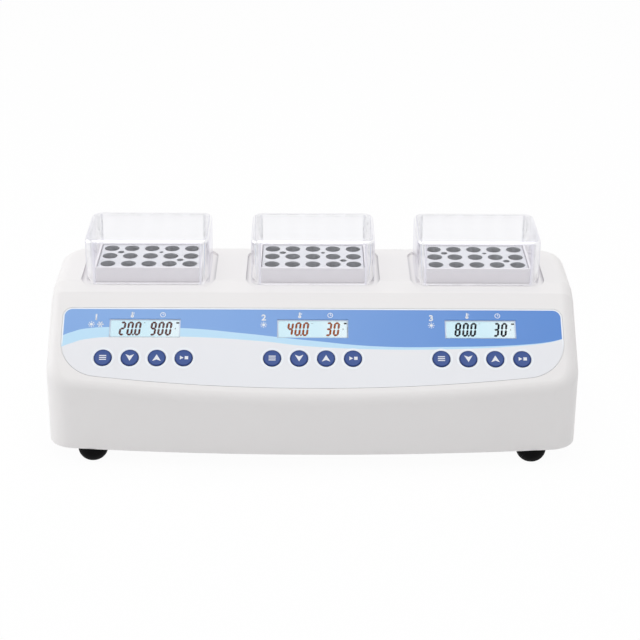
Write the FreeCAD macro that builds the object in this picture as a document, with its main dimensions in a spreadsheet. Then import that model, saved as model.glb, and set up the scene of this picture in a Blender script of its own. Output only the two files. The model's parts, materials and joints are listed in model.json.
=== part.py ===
import FreeCAD, Part
import math
import os
import re
import Sketcher

# Dry block heater with three blocks, in millimetres: +Z up, the front faces -Y, and the origin is
# on the floor under the middle of the case.

# Driving dimensions.
DIMENSIONS = {
    # Case: a shell with a bowed front, a sloped panel and a rounded rim, closed by a flat base.
    "body_width": 380,
    "body_depth": 150,
    "base_height": 11,
    "top_height": 112,
    "wall": 3,
    "base_thickness": 3,
    "bow_radius": 1700,
    "front_corner": 20,
    "back_corner": 22,
    "rim_radius": 10,
    "fold_radius": 20,
    "fit_gap": 0.3,
    # Panel: its slope, the row of keys that it is laid out from, and its overlay.
    "panel_angle": 38.27,
    "key_row_y": -49.55,
    "key_row_height": 74.83,
    "overlay_width": 359.2,
    "overlay_thickness": 0.8,
    "overlay_above": 40.3,
    "overlay_below": 23.3,
    "overlay_bow": 1350,
    "overlay_top_corner": 7,
    "overlay_low_corner": 28,
    # Keys, from the cap down to the switch that each one presses.
    "key_pitch": 19.17,
    "key_radius": 6.3,
    "key_proud": 0.7,
    "key_round": 0.45,
    "key_flange": 1.3,
    "key_flange_depth": 1,
    "key_travel": 0.7,
    "key_stem_radius": 2.5,
    "key_stem_length": 2.2,
    "switch_size": 6,
    "switch_body": 3.6,
    "switch_plunger": 1.4,
    "switch_plunger_radius": 1.7,
    # Displays: a clear window, the module behind it and the board that carries them.
    "window_width": 50.5,
    "window_height": 14.4,
    "window_rise": 23.95,
    "module_lip": 1.5,
    "module_ledge": 0.75,
    "module_recess": 0.5,
    "module_back_lip": 3.3,
    "module_back_depth": 6,
    "board_thickness": 1.6,
    "display_board_width": 336,
    "display_board_above": 38,
    "display_board_below": 16,
    "display_boss_radius": 3,
    "display_boss_inner": 60.2,
    "display_boss_outer": 163,
    "display_boss_above": 27,
    "display_boss_below": 9,
    # Blocks, the wells in them, and what stands round them.
    "block_spacing": 120.4,
    "block_y": 30.5,
    "block_top": 120.5,
    "block_width": 75,
    "block_depth": 45,
    "block_height": 35,
    "block_chamfer": 0.6,
    "well_pitch": 15,
    "well_radius": 5.5,
    "well_depth": 20,
    "well_cone_angle": 60,
    "probe_radius": 1.6,
    "probe_depth": 25,
    "collar_wall_x": 1.45,
    "collar_wall_y": 1.7,
    "collar_proud": 0.7,
    "collar_corner": 2,
    "seat_width": 98,
    "seat_depth": 68,
    "seat_corner": 12,
    "seat_sink": 2,
    "seat_rim": 2,
    # Lids.
    "lid_width": 90,
    "lid_depth": 60,
    "lid_height": 34.2,
    "lid_wall": 2,
    "lid_corner": 8,
    "lid_round": 2.5,
    # Heat plates, hung under the top, and what heats or cools them.
    "plate_width": 98,
    "plate_depth": 50,
    "plate_thickness": 8,
    "plate_corner": 3,
    "hanger_x": 44,
    "hanger_y": 18,
    "hanger_radius": 4,
    "heater_thickness": 2,
    "insulation_thickness": 6,
    "insulation_rim": 1,
    "sensor_radius": 3.6,
    "sensor_thickness": 1.5,
    "sensor_bead": 1.6,
    "cutout_radius": 4.2,
    "cutout_height": 5,
    "cutout_cap_radius": 3,
    "cutout_cap": 2,
    "cooler_size": 40,
    "cooler_thickness": 4,
    "cooler_ceramic": 0.8,
    "cooler_rim": 1.2,
    "sink_width": 90,
    "sink_depth": 60,
    "sink_base": 8,
    "fin_thickness": 1.6,
    "fin_pitch": 6.3,
    # Fan under the heat sink.
    "fan_size": 60,
    "fan_depth": 15,
    "fan_corner": 5,
    "fan_bore_radius": 28.5,
    "fan_hole_spacing": 50,
    "fan_hole_radius": 2.1,
    "fan_hub_radius": 12,
    "fan_hub_height": 9.5,
    "fan_web": 2,
    "fan_strut": 3,
    "fan_tip_gap": 1.3,
    "fan_axial_gap": 1,
    "blade_chord": 11,
    "blade_thickness": 1.2,
    "blade_root_pitch": 48,
    "blade_tip_pitch": 32,
    "blade_root_sink": 1.5,
    # Boards on the base.
    "standoff_height": 6,
    "standoff_radius": 3,
    "board_inset": 5,
    "control_width": 90,
    "control_depth": 60,
    "supply_width": 100,
    "supply_depth": 52,
    "supply_y": 12,
    # Service panel in the back: a sunk field with the mains inlet and the power switch.
    "service_x": 120,
    "service_z": 45,
    "service_width": 78,
    "service_height": 34,
    "service_corner": 4,
    "service_sink": 5,
    "inlet_x": 104,
    "inlet_width": 27,
    "inlet_height": 19.6,
    "inlet_flange": 2.2,
    "inlet_lip": 2.2,
    "inlet_body": 20,
    "inlet_corner": 2,
    "socket_width": 24,
    "socket_height": 16,
    "socket_depth": 17,
    "socket_slope": 4,
    "pin_width": 2,
    "pin_height": 4,
    "pin_length": 9.5,
    "pin_spacing": 7,
    "pin_drop": 2,
    "tab_length": 7,
    "switch_x": 142,
    "rocker_frame_width": 12.8,
    "rocker_frame_height": 19,
    "rocker_frame_lip": 1.1,
    "rocker_frame_flange": 2,
    "rocker_frame_depth": 12,
    "rocker_well_depth": 11,
    "rocker_width": 9.4,
    "rocker_half": 7.9,
    "rocker_valley": 0.8,
    "rocker_tilt": 10,
    "rocker_foot": 4,
    "rocker_foot_half": 6,
    "rocker_gap": 0.4,
    "rocker_pin_radius": 1,
    "rocker_pin_length": 1,
    # Air slots in the back and in the base.
    "slot_width": 3.2,
    "slot_pitch": 7,
    "back_slot_height": 28,
    "back_slot_z": 50,
    "base_slot_length": 48,
    # Feet.
    "foot_side_inset": 32,
    "foot_front_inset": 17.5,
    "foot_back_inset": 21,
    "foot_radius": 10.75,
    "foot_shoulder": 8,
    "foot_sole_radius": 6.5,
    "foot_recess_radius": 4.5,
    "foot_recess": 5,
    # Screws.
    "post_radius": 4.5,
    "post_side_inset": 16,
    "post_front_inset": 30,
    "post_back_inset": 17,
    "post_mid_x": 60.2,
    "post_mid_front_inset": 13,
    "post_mid_back_inset": 12,
    "screw_gap": 0.2,
    "thread_gap": 0.1,
    "pilot_spare": 2,
    "case_screw_radius": 1.5,
    "case_screw_length": 13,
    "case_head_radius": 3,
    "case_head": 2,
    "plate_screw_length": 9,
    "small_screw_radius": 1.25,
    "small_head_radius": 2.25,
    "small_head": 2,
    "small_screw_length": 5,
    "block_screw_x": 22.5,
    "block_screw_y": 7.5,
    "block_screw_web": 6,
    "foot_screw_radius": 2,
    "foot_head_radius": 3.5,
    "foot_head": 2.5,
    "foot_nut_radius": 4,
    "foot_nut": 3,
}

# The taller components on the two boards on the base: width, depth, height, and the place of the middle
# across and along the board.
COMPONENTS = {
    "control_board": {
        "relay_left": (16, 12, 14, -22, 14),
        "relay_middle": (16, 12, 14, 0, 14),
        "relay_right": (16, 12, 14, 22, 14),
        "processor": (14, 14, 2.5, 4, -6),
        "load_terminals": (30, 8, 9, -18, -20),
        "signal_sockets": (22, 8, 9, 20, -20),
    },
    "power_supply": {
        "transformer": (28, 24, 24, -4, 0),
        "bulk_capacitor": (16, 16, 26, -30, 8),
        "output_capacitor": (12, 12, 20, 24, 10),
        "cooling_fin": (4, 34, 22, 38, 0),
        "mains_filter": (18, 10, 12, -32, -14),
        "output_terminals": (22, 10, 8, 14, -16),
    },
}
COMPONENT_SIZES = ("width", "depth", "height", "across", "along")
for board_parts in COMPONENTS.values():
    for part_name, numbers in board_parts.items():
        DIMENSIONS.update({f"{part_name}_{size}": number for size, number in zip(COMPONENT_SIZES, numbers)})

# Levels and places that follow from them.
DERIVED = {
    "half_width": "body_width / 2",
    "front_y": "-body_depth / 2",
    "back_y": "body_depth / 2",
    "base_top": "base_height + base_thickness",
    "fold_z": "top_height - fold_radius",
    "fold_y": "key_row_y + ((fold_z - key_row_height) * cos(panel_angle) + fold_radius) / sin(panel_angle)",
    "seat_floor": "top_height - seat_sink",
    "plate_top": "block_top - block_height",
    "plate_bottom": "plate_top - plate_thickness",
    "sink_top": "plate_bottom - cooler_thickness",
    "fan_top": "base_top + fan_depth",
    "collar_width": "block_width + 2 * fit_gap + 2 * collar_wall_x",
    "collar_depth": "block_depth + 2 * fit_gap + 2 * collar_wall_y",
    "key_hole": "key_radius + fit_gap",
    "flange_top": "-wall - fit_gap",
    "stem_end": "flange_top - key_flange_depth - key_stem_length",
    "switch_top": "stem_end - key_travel - fit_gap",
    "board_face": "switch_top - switch_plunger - switch_body",
    "board_back": "board_face - board_thickness",
    "service_floor": "back_y - service_sink",
    "rocker_ridge": "rocker_valley + rocker_half * tan(rocker_tilt)",
    "rocker_reach": "sqrt(rocker_half^2 + rocker_ridge^2)",
}

STATIONS = {"left": "-block_spacing", "middle": "0", "right": "block_spacing"}
HEATED = ("middle", "right")
KEYS = {
    "menu": "-1.5 * key_pitch",
    "down": "-0.5 * key_pitch",
    "up": "0.5 * key_pitch",
    "start": "1.5 * key_pitch",
}
SIGNS = ("-", "")
WELL_COLUMNS = range(-2, 3)
WELL_ROWS = range(-1, 2)
FIN_COUNT = 15
BLADE_COUNT = 7
STRUT_COUNT = 4
BACK_SLOT_COUNT = 11
BASE_SLOT_COUNT = 7
MARGIN = 20

doc = FreeCAD.newDocument("dry_block_heater")
sheet = doc.addObject("Spreadsheet::Sheet", "Dims")
pieces = []


def fill_sheet():
    """Write the driving numbers and the formulas into the sheet, each cell under its own alias."""
    cells = [(alias, str(number)) for alias, number in DIMENSIONS.items()]
    cells += [(alias, "=" + formula) for alias, formula in DERIVED.items()]
    for row, (alias, content) in enumerate(cells, 1):
        sheet.set(f"A{row}", alias)
        sheet.set(f"B{row}", content)
        sheet.setAlias(f"B{row}", alias)
    doc.recompute()


def bound(text):
    """The expression with each alias named as a cell of the sheet."""
    known = lambda word: f"Dims.{word[0]}" if word[0] in DIMENSIONS or word[0] in DERIVED else word[0]
    return re.sub(r"[a-z][a-z_]*", known, text)


def value(text):
    number = sheet.evalExpression(bound(text))
    return float(getattr(number, "Value", number))


def vector(x, y, z):
    return FreeCAD.Vector(value(x), value(y), value(z))


# Frames: the panel's, with Z out of its face, and the back wall's, with Z pointing backwards.

def panel_frame(u="0", v="0", w="0"):
    tilt = FreeCAD.Rotation(FreeCAD.Vector(1, 0, 0), value("panel_angle"))
    origin = FreeCAD.Placement(vector("0", "key_row_y", "key_row_height"), tilt)
    return origin.multiply(FreeCAD.Placement(vector(u, v, w), FreeCAD.Rotation()))


def back_frame(x, y, z):
    turn = FreeCAD.Rotation(FreeCAD.Vector(-1, 0, 0), FreeCAD.Vector(0, 0, 1), FreeCAD.Vector(0, 1, 0))
    return FreeCAD.Placement(vector(x, y, z), turn)


def level(z, x="0", y="0"):
    return FreeCAD.Placement(vector(x, y, z), FreeCAD.Rotation())


# Bodies, sketches and features.

def new_body(label, piece=True):
    body = doc.addObject("PartDesign::Body", label)
    body.Label = label
    body.AllowCompound = True
    if piece:
        pieces.append(body)
    return body


def origin_part(body, role):
    return next(part for part in body.Origin.OriginFeatures if part.Role == role)


def new_sketch(body, offset=None, plane="XY_Plane"):
    sketch = body.newObject("Sketcher::SketchObject", "sketch")
    sketch.AttachmentSupport = [(origin_part(body, plane), "")]
    sketch.MapMode = "FlatFace"
    if offset is not None:
        sketch.AttachmentOffset = offset
    return sketch


def bind(sketch, constraint, text):
    index = sketch.addConstraint(constraint)
    name = f"size_{index}"
    sketch.renameConstraint(index, name)
    sketch.setExpression(f"Constraints.{name}", bound(text))


def pin_point(sketch, curve, end, x, y):
    bind(sketch, Sketcher.Constraint("DistanceX", -1, 1, curve, end, value(x)), x)
    bind(sketch, Sketcher.Constraint("DistanceY", -1, 1, curve, end, value(y)), y)


def outline(sketch, corners):
    """A closed loop through the corners, anticlockwise. A corner with a third entry, a radius, is reached
    by an arc that bulges outwards."""
    points = [vector(corner[0], corner[1], "0") for corner in corners]
    first = sketch.GeometryCount
    ends = []
    for index, start in enumerate(points):
        target = (index + 1) % len(points)
        finish = points[target]
        if len(corners[target]) == 2:
            curve = Part.LineSegment(start, finish)
        else:
            radius = value(corners[target][2])
            chord = finish - start
            rise = radius - math.sqrt(max(radius ** 2 - chord.Length ** 2 / 4, 0))
            outward = FreeCAD.Vector(chord.y, -chord.x, 0).normalize()
            curve = Part.Arc(start, (start + finish) / 2 + outward * rise, finish)
        sketch.addGeometry(curve)
        forward = (sketch.Geometry[first + index].StartPoint - start).Length < 1e-6
        ends.append((1, 2) if forward else (2, 1))
    for index, corner in enumerate(corners):
        target = (index + 1) % len(corners)
        curve = first + index
        joint = (curve, ends[index][1], first + target, ends[target][0])
        sketch.addConstraint(Sketcher.Constraint("Coincident", *joint))
        pin_point(sketch, curve, ends[index][0], corner[0], corner[1])
        if len(corners[target]) == 3:
            radius = corners[target][2]
            bind(sketch, Sketcher.Constraint("Radius", curve, value(radius)), radius)


def rectangle(sketch, width, height, x="0", y="0", radius=None):
    left, right = f"{x} - ({width}) / 2", f"{x} + ({width}) / 2"
    low, high = f"{y} - ({height}) / 2", f"{y} + ({height}) / 2"
    if radius is None:
        outline(sketch, [(left, low), (right, low), (right, high), (left, high)])
        return
    r = f"({radius})"
    outline(sketch, [
        (f"{left} + {r}", low, r), (f"{right} - {r}", low),
        (right, f"{low} + {r}", r), (right, f"{high} - {r}"),
        (f"{right} - {r}", high, r), (f"{left} + {r}", high),
        (left, f"{high} - {r}", r), (left, f"{low} + {r}"),
    ])


def slot(sketch, length, width, x, y, upright=False):
    """A slot with half-round ends."""
    r = f"({width}) / 2"
    run = f"(({length}) / 2 - {r})"
    places = [(f"-{run}", f"-{r}", r), (run, f"-{r}"), (run, r, r), (f"-{run}", r)]
    if upright:
        places = [(f"-({v})", u, *turn) for u, v, *turn in places]
    outline(sketch, [(f"{x} + {u}", f"{y} + {v}", *turn) for u, v, *turn in places])


def circles(sketch, centres, radius):
    for x, y in centres:
        curve = sketch.GeometryCount
        sketch.addGeometry(Part.Circle(vector(x, y, "0"), FreeCAD.Vector(0, 0, 1), value(radius)))
        bind(sketch, Sketcher.Constraint("Radius", curve, value(radius)), radius)
        pin_point(sketch, curve, 3, x, y)


def bowed_outline(sketch, half, near, far, bow, near_corner, far_corner, inset):
    """A rectangle whose near side bows outwards and whose four corners are round, drawn in by the inset."""
    centre_x = f"({half} - {near_corner})"
    reach = f"({bow} - {near_corner})"
    bow_y = f"({near} + {bow})"
    rise = f"sqrt({reach}^2 - {centre_x}^2)"
    corner_y = f"{bow_y} - {rise}"
    touch_x = f"({bow} - ({inset})) * {centre_x} / {reach}"
    touch_y = f"{bow_y} - ({bow} - ({inset})) * {rise} / {reach}"
    side = f"({half} - ({inset}))"
    end = f"{far} - ({inset})"
    turn = f"{near_corner} - ({inset})"
    far_turn = f"{far_corner} - ({inset})"
    outline(sketch, [
        (f"-({touch_x})", touch_y, turn), (touch_x, touch_y, f"{bow} - ({inset})"),
        (side, corner_y, turn), (side, f"{far} - {far_corner}"),
        (f"{half} - {far_corner}", end, far_turn), (f"{far_corner} - {half}", end),
        (f"-{side}", f"{far} - {far_corner}", far_turn), (f"-{side}", corner_y),
    ])


def plan_outline(sketch, inset="0"):
    bowed_outline(
        sketch, "half_width", "front_y", "back_y",
        "bow_radius", "front_corner", "back_corner", inset,
    )


def overlay_outline(sketch, inset="0"):
    bowed_outline(
        sketch, "overlay_width / 2", "-overlay_below", "overlay_above",
        "overlay_bow", "overlay_low_corner", "overlay_top_corner", inset,
    )


def feature(body, kind, sketch, length, reverse):
    made = body.newObject(f"PartDesign::{kind}", kind.lower())
    made.Profile = sketch
    if length is None:
        made.Type = "ThroughAll"
    else:
        made.setExpression("Length", bound(length))
    made.Reversed = reverse
    return made


def pad(body, sketch, length, reverse=False):
    return feature(body, "Pad", sketch, length, reverse)


def pocket(body, sketch, length=None, reverse=False):
    """A cut against the sketch's normal, or along it when reversed, that has to take material away."""
    doc.recompute()
    before = body.Shape.Volume
    made = feature(body, "Pocket", sketch, length, reverse)
    doc.recompute()
    if body.Shape.Volume > before - 1e-3:
        raise RuntimeError(f"a cut in {body.Label} takes nothing away")
    return made


def drill(body, sketch, diameter, depth, **settings):
    """Round holes at the circles of the sketch, from its plane downwards."""
    doc.recompute()
    hole = body.newObject("PartDesign::Hole", "hole")
    hole.Profile = sketch
    hole.Threaded = False
    hole.DepthType = "Dimension"
    for name, setting in settings.items():
        setattr(hole, name, setting)
    hole.setExpression("Diameter", bound(diameter))
    hole.setExpression("Depth", bound(depth))
    doc.recompute()
    return hole


def round_edges(body, names, radius, kind="Fillet", size="Radius"):
    base = body.Tip
    made = body.newObject(f"PartDesign::{kind}", kind.lower())
    made.Base = (base, names)
    made.setExpression(size, bound(radius))
    doc.recompute()
    return made


def revolve(body, sketch, axis="V_Axis"):
    made = body.newObject("PartDesign::Revolution", "revolution")
    made.Profile = sketch
    made.ReferenceAxis = (sketch, [axis])
    made.Angle = 360
    return made


def repeat(body, kind, original, count, **settings):
    doc.recompute()
    pattern = body.newObject(f"PartDesign::{kind}", "pattern")
    pattern.Originals = [original]
    for name, setting in settings.items():
        setattr(pattern, name, setting)
    pattern.Occurrences = count
    body.Tip = pattern
    return pattern


def linear(body, original, axis, pitch, count):
    pattern = repeat(body, "LinearPattern", original, count, Direction=(origin_part(body, axis), [""]))
    pattern.setExpression("Length", bound(f"{count - 1} * {pitch}"))
    doc.recompute()


def polar(body, original, count):
    repeat(body, "PolarPattern", original, count, Axis=(origin_part(body, "Z_Axis"), [""]), Angle=360)
    doc.recompute()


def edges_at(shape, height):
    """Names of the edges that lie flat at one height of the body's own frame."""
    level_edges = []
    for index, edge in enumerate(shape.Edges, 1):
        box = edge.BoundBox
        if abs(box.ZMin - height) < 1e-4 and abs(box.ZMax - height) < 1e-4:
            level_edges.append(f"Edge{index}")
    return level_edges


def rim_edges(shape):
    """Names of the edges where an upright wall meets the top or the slope."""
    found = []
    for index, edge in enumerate(shape.Edges, 1):
        middle = edge.valueAt((edge.FirstParameter + edge.LastParameter) / 2)
        faces = shape.ancestorsOfType(edge, Part.Face)
        upward = [face.normalAt(*face.Surface.parameter(middle)).z for face in faces]
        if min(abs(z) for z in upward) < 0.01 and max(upward) > 0.3:
            found.append(f"Edge{index}")
    return found


# Places that several pieces share.

def stations(places=(("0", "0"),)):
    return [(f"{x} + {u}", f"block_y + {v}") for x in STATIONS.values() for u, v in places]


def corners(x, y):
    return [(f"{side}({x})", f"{end}({y})") for side in SIGNS for end in SIGNS]


def hangers():
    return corners("hanger_x", "hanger_y")


def block_screw_places():
    return [("-block_screw_x", "block_screw_y"), ("block_screw_x", "-block_screw_y")]


def post_places():
    side_x = "(half_width - post_side_inset)"
    places = [(side_x, "front_y + post_front_inset"), (side_x, "back_y - post_back_inset")]
    places += [("post_mid_x", "front_y + post_mid_front_inset"), ("post_mid_x", "back_y - post_mid_back_inset")]
    return [(f"{side}{x}", y) for side in SIGNS for x, y in places]


def foot_places():
    side_x = "half_width - foot_side_inset"
    sides = {"left": f"-({side_x})", "right": side_x}
    ends = {"front": "front_y + foot_front_inset", "back": "back_y - foot_back_inset"}
    return {f"{end}_{side}": (x, y) for side, x in sides.items() for end, y in ends.items()}


def display_boss_places():
    across = ("display_boss_inner", "display_boss_outer")
    along = ("display_boss_above", "-display_boss_below")
    return [(f"{side}{u}", v) for side in SIGNS for u in across for v in along]


def board_corners(width, depth, x, y):
    inset = corners(f"{width} / 2 - board_inset", f"{depth} / 2 - board_inset")
    return [(f"{x} + {u}", f"{y} + {v}") for u, v in inset]


def base_board_places():
    control = board_corners("control_width", "control_depth", "0", "block_y")
    return control + board_corners("supply_width", "supply_depth", "block_spacing", "supply_y")


def key_places():
    return [(f"{x} + {u}", "0") for x in STATIONS.values() for u in KEYS.values()]


# Case.

def case_form(body, inset):
    """The outside of the case, drawn in by the inset: the plan raised to the top, cut down to the slope,
    with its whole upper rim rounded."""
    plan = new_sketch(body, level("base_height"))
    plan_outline(plan, inset)
    pad(body, plan, f"top_height - ({inset}) - base_height")
    side = new_sketch(body, plane="YZ_Plane")
    radius = f"(fold_radius - ({inset}))"
    low_y, low_z = f"fold_y - {radius} * sin(panel_angle)", f"fold_z + {radius} * cos(panel_angle)"
    ahead, above = f"front_y - {MARGIN}", f"top_height + {MARGIN}"
    outline(side, [
        ("fold_y", above), (ahead, above),
        (ahead, f"{low_z} + ({ahead} - ({low_y})) * tan(panel_angle)"),
        (low_y, low_z),
        ("fold_y", f"fold_z + {radius}"),
    ])
    slope = pocket(body, side)
    slope.Midplane = True
    doc.recompute()
    round_edges(body, rim_edges(body.Shape), f"rim_radius - ({inset})")


def make_housing():
    """The moulded shell. Its inside is a core that is cut away, and each boss, post and thick place of the
    shell is a hollow in that core."""
    housing = new_body("upper_housing")
    case_form(housing, "0")
    core = new_body("housing_core", piece=False)
    case_form(core, "wall")

    def hollow(offset, draw, plane="XY_Plane"):
        sketch = new_sketch(core, offset, plane)
        draw(sketch)
        pocket(core, sketch, reverse=plane == "XY_Plane")

    def draw_seats(sketch, grow, width, depth, corner):
        size = (f"{width} + 2 * ({grow})", f"{depth} + 2 * ({grow})")
        for x, y in stations():
            rectangle(sketch, *size, x, y, f"{corner} + {grow}")

    def draw_service(sketch, grow):
        rectangle(
            sketch, f"service_width + 2 * ({grow})", f"service_height + 2 * ({grow})",
            "service_x", "service_z", f"service_corner + {grow}",
        )

    seat = ("seat_width", "seat_depth", "seat_corner")
    back_plane = lambda y: FreeCAD.Placement(FreeCAD.Vector(0, 0, -value(y)), FreeCAD.Rotation())
    hollow(level("base_top"), lambda s: circles(s, post_places(), "post_radius"))
    hollow(level("seat_floor - wall"), lambda s: draw_seats(s, "seat_rim", *seat))
    hollow(level("plate_top"), lambda s: circles(s, stations(hangers()), "hanger_radius"))
    hollow(panel_frame(w="board_face"), lambda s: circles(s, display_boss_places(), "display_boss_radius"))
    hollow(back_plane("service_floor - wall"), lambda s: draw_service(s, "wall"), "XZ_Plane")

    inside = housing.newObject("PartDesign::Boolean", "inside")
    inside.Type = "Cut"
    inside.setObjects([core])
    doc.recompute()

    def cut(offset, draw, length, reverse=False, plane="XY_Plane"):
        sketch = new_sketch(housing, offset, plane)
        draw(sketch)
        return pocket(housing, sketch, length, reverse)

    collar = ("collar_width", "collar_depth", "collar_corner")
    cut(level("top_height"), lambda s: draw_seats(s, "0", *seat), "seat_sink")
    cut(level("seat_floor"), lambda s: draw_seats(s, "fit_gap", *collar), "2 * wall")
    cut(panel_frame(), lambda s: overlay_outline(s, "-fit_gap"), "overlay_thickness")
    cut(panel_frame(), lambda s: circles(s, key_places(), "key_hole"), "2 * wall")

    def draw_windows(sketch):
        lip = "2 * (module_lip + fit_gap)"
        for x in STATIONS.values():
            rectangle(sketch, f"window_width + {lip}", f"window_height + {lip}", x, "window_rise")

    def draw_service_holes(sketch):
        rectangle(
            sketch, "inlet_width + 2 * fit_gap", "inlet_height + 2 * fit_gap",
            "inlet_x", "service_z", "inlet_corner + fit_gap",
        )
        rectangle(
            sketch, "rocker_frame_width + 2 * fit_gap", "rocker_frame_height + 2 * fit_gap",
            "switch_x", "service_z",
        )

    def draw_back_slot(sketch):
        first = f"-block_spacing - {(BACK_SLOT_COUNT - 1) / 2} * slot_pitch"
        slot(sketch, "back_slot_height", "slot_width", first, "back_slot_z", upright=True)

    cut(panel_frame(), draw_windows, "2 * wall")
    cut(back_plane("back_y"), lambda s: draw_service(s, "0"), "service_sink", True, "XZ_Plane")
    cut(back_plane("back_y"), draw_service_holes, "service_sink + 2 * wall", True, "XZ_Plane")
    vent = cut(back_plane("back_y"), draw_back_slot, "2 * wall", True, "XZ_Plane")
    linear(housing, vent, "X_Axis", "slot_pitch", BACK_SLOT_COUNT)
    thread = "case_screw_radius + thread_gap"
    cut(
        level("base_top"), lambda s: circles(s, post_places(), thread),
        "case_screw_length + pilot_spare", True,
    )
    cut(
        level("plate_top"), lambda s: circles(s, stations(hangers()), thread),
        "plate_screw_length + pilot_spare", True,
    )
    cut(
        panel_frame(w="board_face"),
        lambda s: circles(s, display_boss_places(), "small_screw_radius + thread_gap"),
        "small_screw_length + pilot_spare", True,
    )


def make_base():
    base = new_body("base_plate")
    plan = new_sketch(base, level("base_height"))
    plan_outline(plan, "wall + fit_gap")
    pad(base, plan, "base_thickness")
    holes = new_sketch(base, level("base_top"))
    circles(holes, post_places(), "case_screw_radius + screw_gap")
    circles(holes, foot_places().values(), "foot_screw_radius + screw_gap")
    pocket(base, holes)
    heads = new_sketch(base, level("base_height"))
    circles(heads, post_places(), "case_head_radius + screw_gap")
    pocket(base, heads, "case_head", reverse=True)
    for x, y in (("-block_spacing", "block_y"), ("block_spacing", "supply_y")):
        vent = new_sketch(base, level("base_top"))
        first = f"{y} - {(BASE_SLOT_COUNT - 1) / 2} * slot_pitch"
        slot(vent, "base_slot_length", "slot_width", x, first)
        linear(base, pocket(base, vent), "Y_Axis", "slot_pitch", BASE_SLOT_COUNT)


def make_feet():
    """Rubber feet: a short straight band that rounds in to a flat sole, with a recess for the screw head."""
    for name, (x, y) in foot_places().items():
        foot = new_body(f"foot_{name}")
        side = new_sketch(foot, plane="XZ_Plane")
        shaft = "foot_screw_radius + screw_gap"
        sole_drop = "foot_radius - foot_sole_radius"
        bulge = f"(foot_shoulder^2 + ({sole_drop})^2) / (2 * ({sole_drop}))"
        outline(side, [
            ("foot_recess_radius", "0"), ("foot_sole_radius", "0"),
            ("foot_radius", "foot_shoulder", bulge), ("foot_radius", "base_height"),
            (shaft, "base_height"), (shaft, "foot_recess"), ("foot_recess_radius", "foot_recess"),
        ])
        revolve(foot, side)
        foot.Placement = level("0", x, y)


# Panel.

def make_overlay():
    overlay = new_body("panel_overlay")
    sheet_outline = new_sketch(overlay, level("-overlay_thickness"))
    overlay_outline(sheet_outline)
    pad(overlay, sheet_outline, "overlay_thickness")
    holes = new_sketch(overlay)
    circles(holes, key_places(), "key_hole")
    for x in STATIONS.values():
        rectangle(holes, "window_width + 2 * fit_gap", "window_height + 2 * fit_gap", x, "window_rise")
    pocket(overlay, holes)
    overlay.Placement = panel_frame()


def make_displays():
    """A clear window in the overlay and, behind it, a display module that stands on the board."""
    for name, x in STATIONS.items():
        window = new_body(f"lcd_window_{name}")
        pane = new_sketch(window, level("-overlay_thickness"))
        rectangle(pane, "window_width", "window_height")
        pad(window, pane, "overlay_thickness")
        module = new_body(f"lcd_module_{name}")
        back = new_sketch(module, level("board_face"))
        rectangle(back, "window_width + 2 * module_back_lip", "window_height + 2 * module_back_lip")
        pad(module, back, "module_back_depth")
        front = new_sketch(module, level("board_face"))
        rectangle(front, "window_width + 2 * module_lip", "window_height + 2 * module_lip")
        pad(module, front, "-overlay_thickness - board_face")
        glass = new_sketch(module, level("-overlay_thickness"))
        rectangle(glass, "window_width - 2 * module_ledge", "window_height - 2 * module_ledge")
        pocket(module, glass, "module_recess")
        for body in (window, module):
            body.Placement = panel_frame(x, "window_rise")


def make_keys():
    """Round caps that stand a little proud of the overlay, each with a flange that keeps it in and a stem."""
    for station, x in STATIONS.items():
        for name, u in KEYS.items():
            key = new_body(f"key_{station}_{name}")
            side = new_sketch(key, plane="XZ_Plane")
            flange = "key_radius + key_flange"
            flange_low = "flange_top - key_flange_depth"
            outline(side, [
                ("0", "stem_end"), ("key_stem_radius", "stem_end"), ("key_stem_radius", flange_low),
                (flange, flange_low), (flange, "flange_top"), ("key_radius", "flange_top"),
                ("key_radius", "key_proud - key_round"), ("key_radius - key_round", "key_proud", "key_round"),
                ("0", "key_proud"),
            ])
            revolve(key, side)
            key.Placement = panel_frame(f"{x} + {u}")


def make_display_board():
    """The board behind the panel, with a switch under every key."""
    board = new_body("display_board")
    sheet_outline = new_sketch(board, level("board_back"))
    middle = "(display_board_above - display_board_below) / 2"
    rectangle(sheet_outline, "display_board_width", "display_board_above + display_board_below", "0", middle)
    pad(board, sheet_outline, "board_thickness")
    switches = new_sketch(board, level("board_face"))
    for x, y in key_places():
        rectangle(switches, "switch_size", "switch_size", x, y)
    pad(board, switches, "switch_body")
    plungers = new_sketch(board, level("board_face"))
    circles(plungers, key_places(), "switch_plunger_radius")
    pad(board, plungers, "switch_body + switch_plunger")
    holes = new_sketch(board, level("board_face"))
    circles(holes, display_boss_places(), "small_screw_radius + screw_gap")
    pocket(board, holes)
    board.Placement = panel_frame()


# Blocks, collars and lids.

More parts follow.
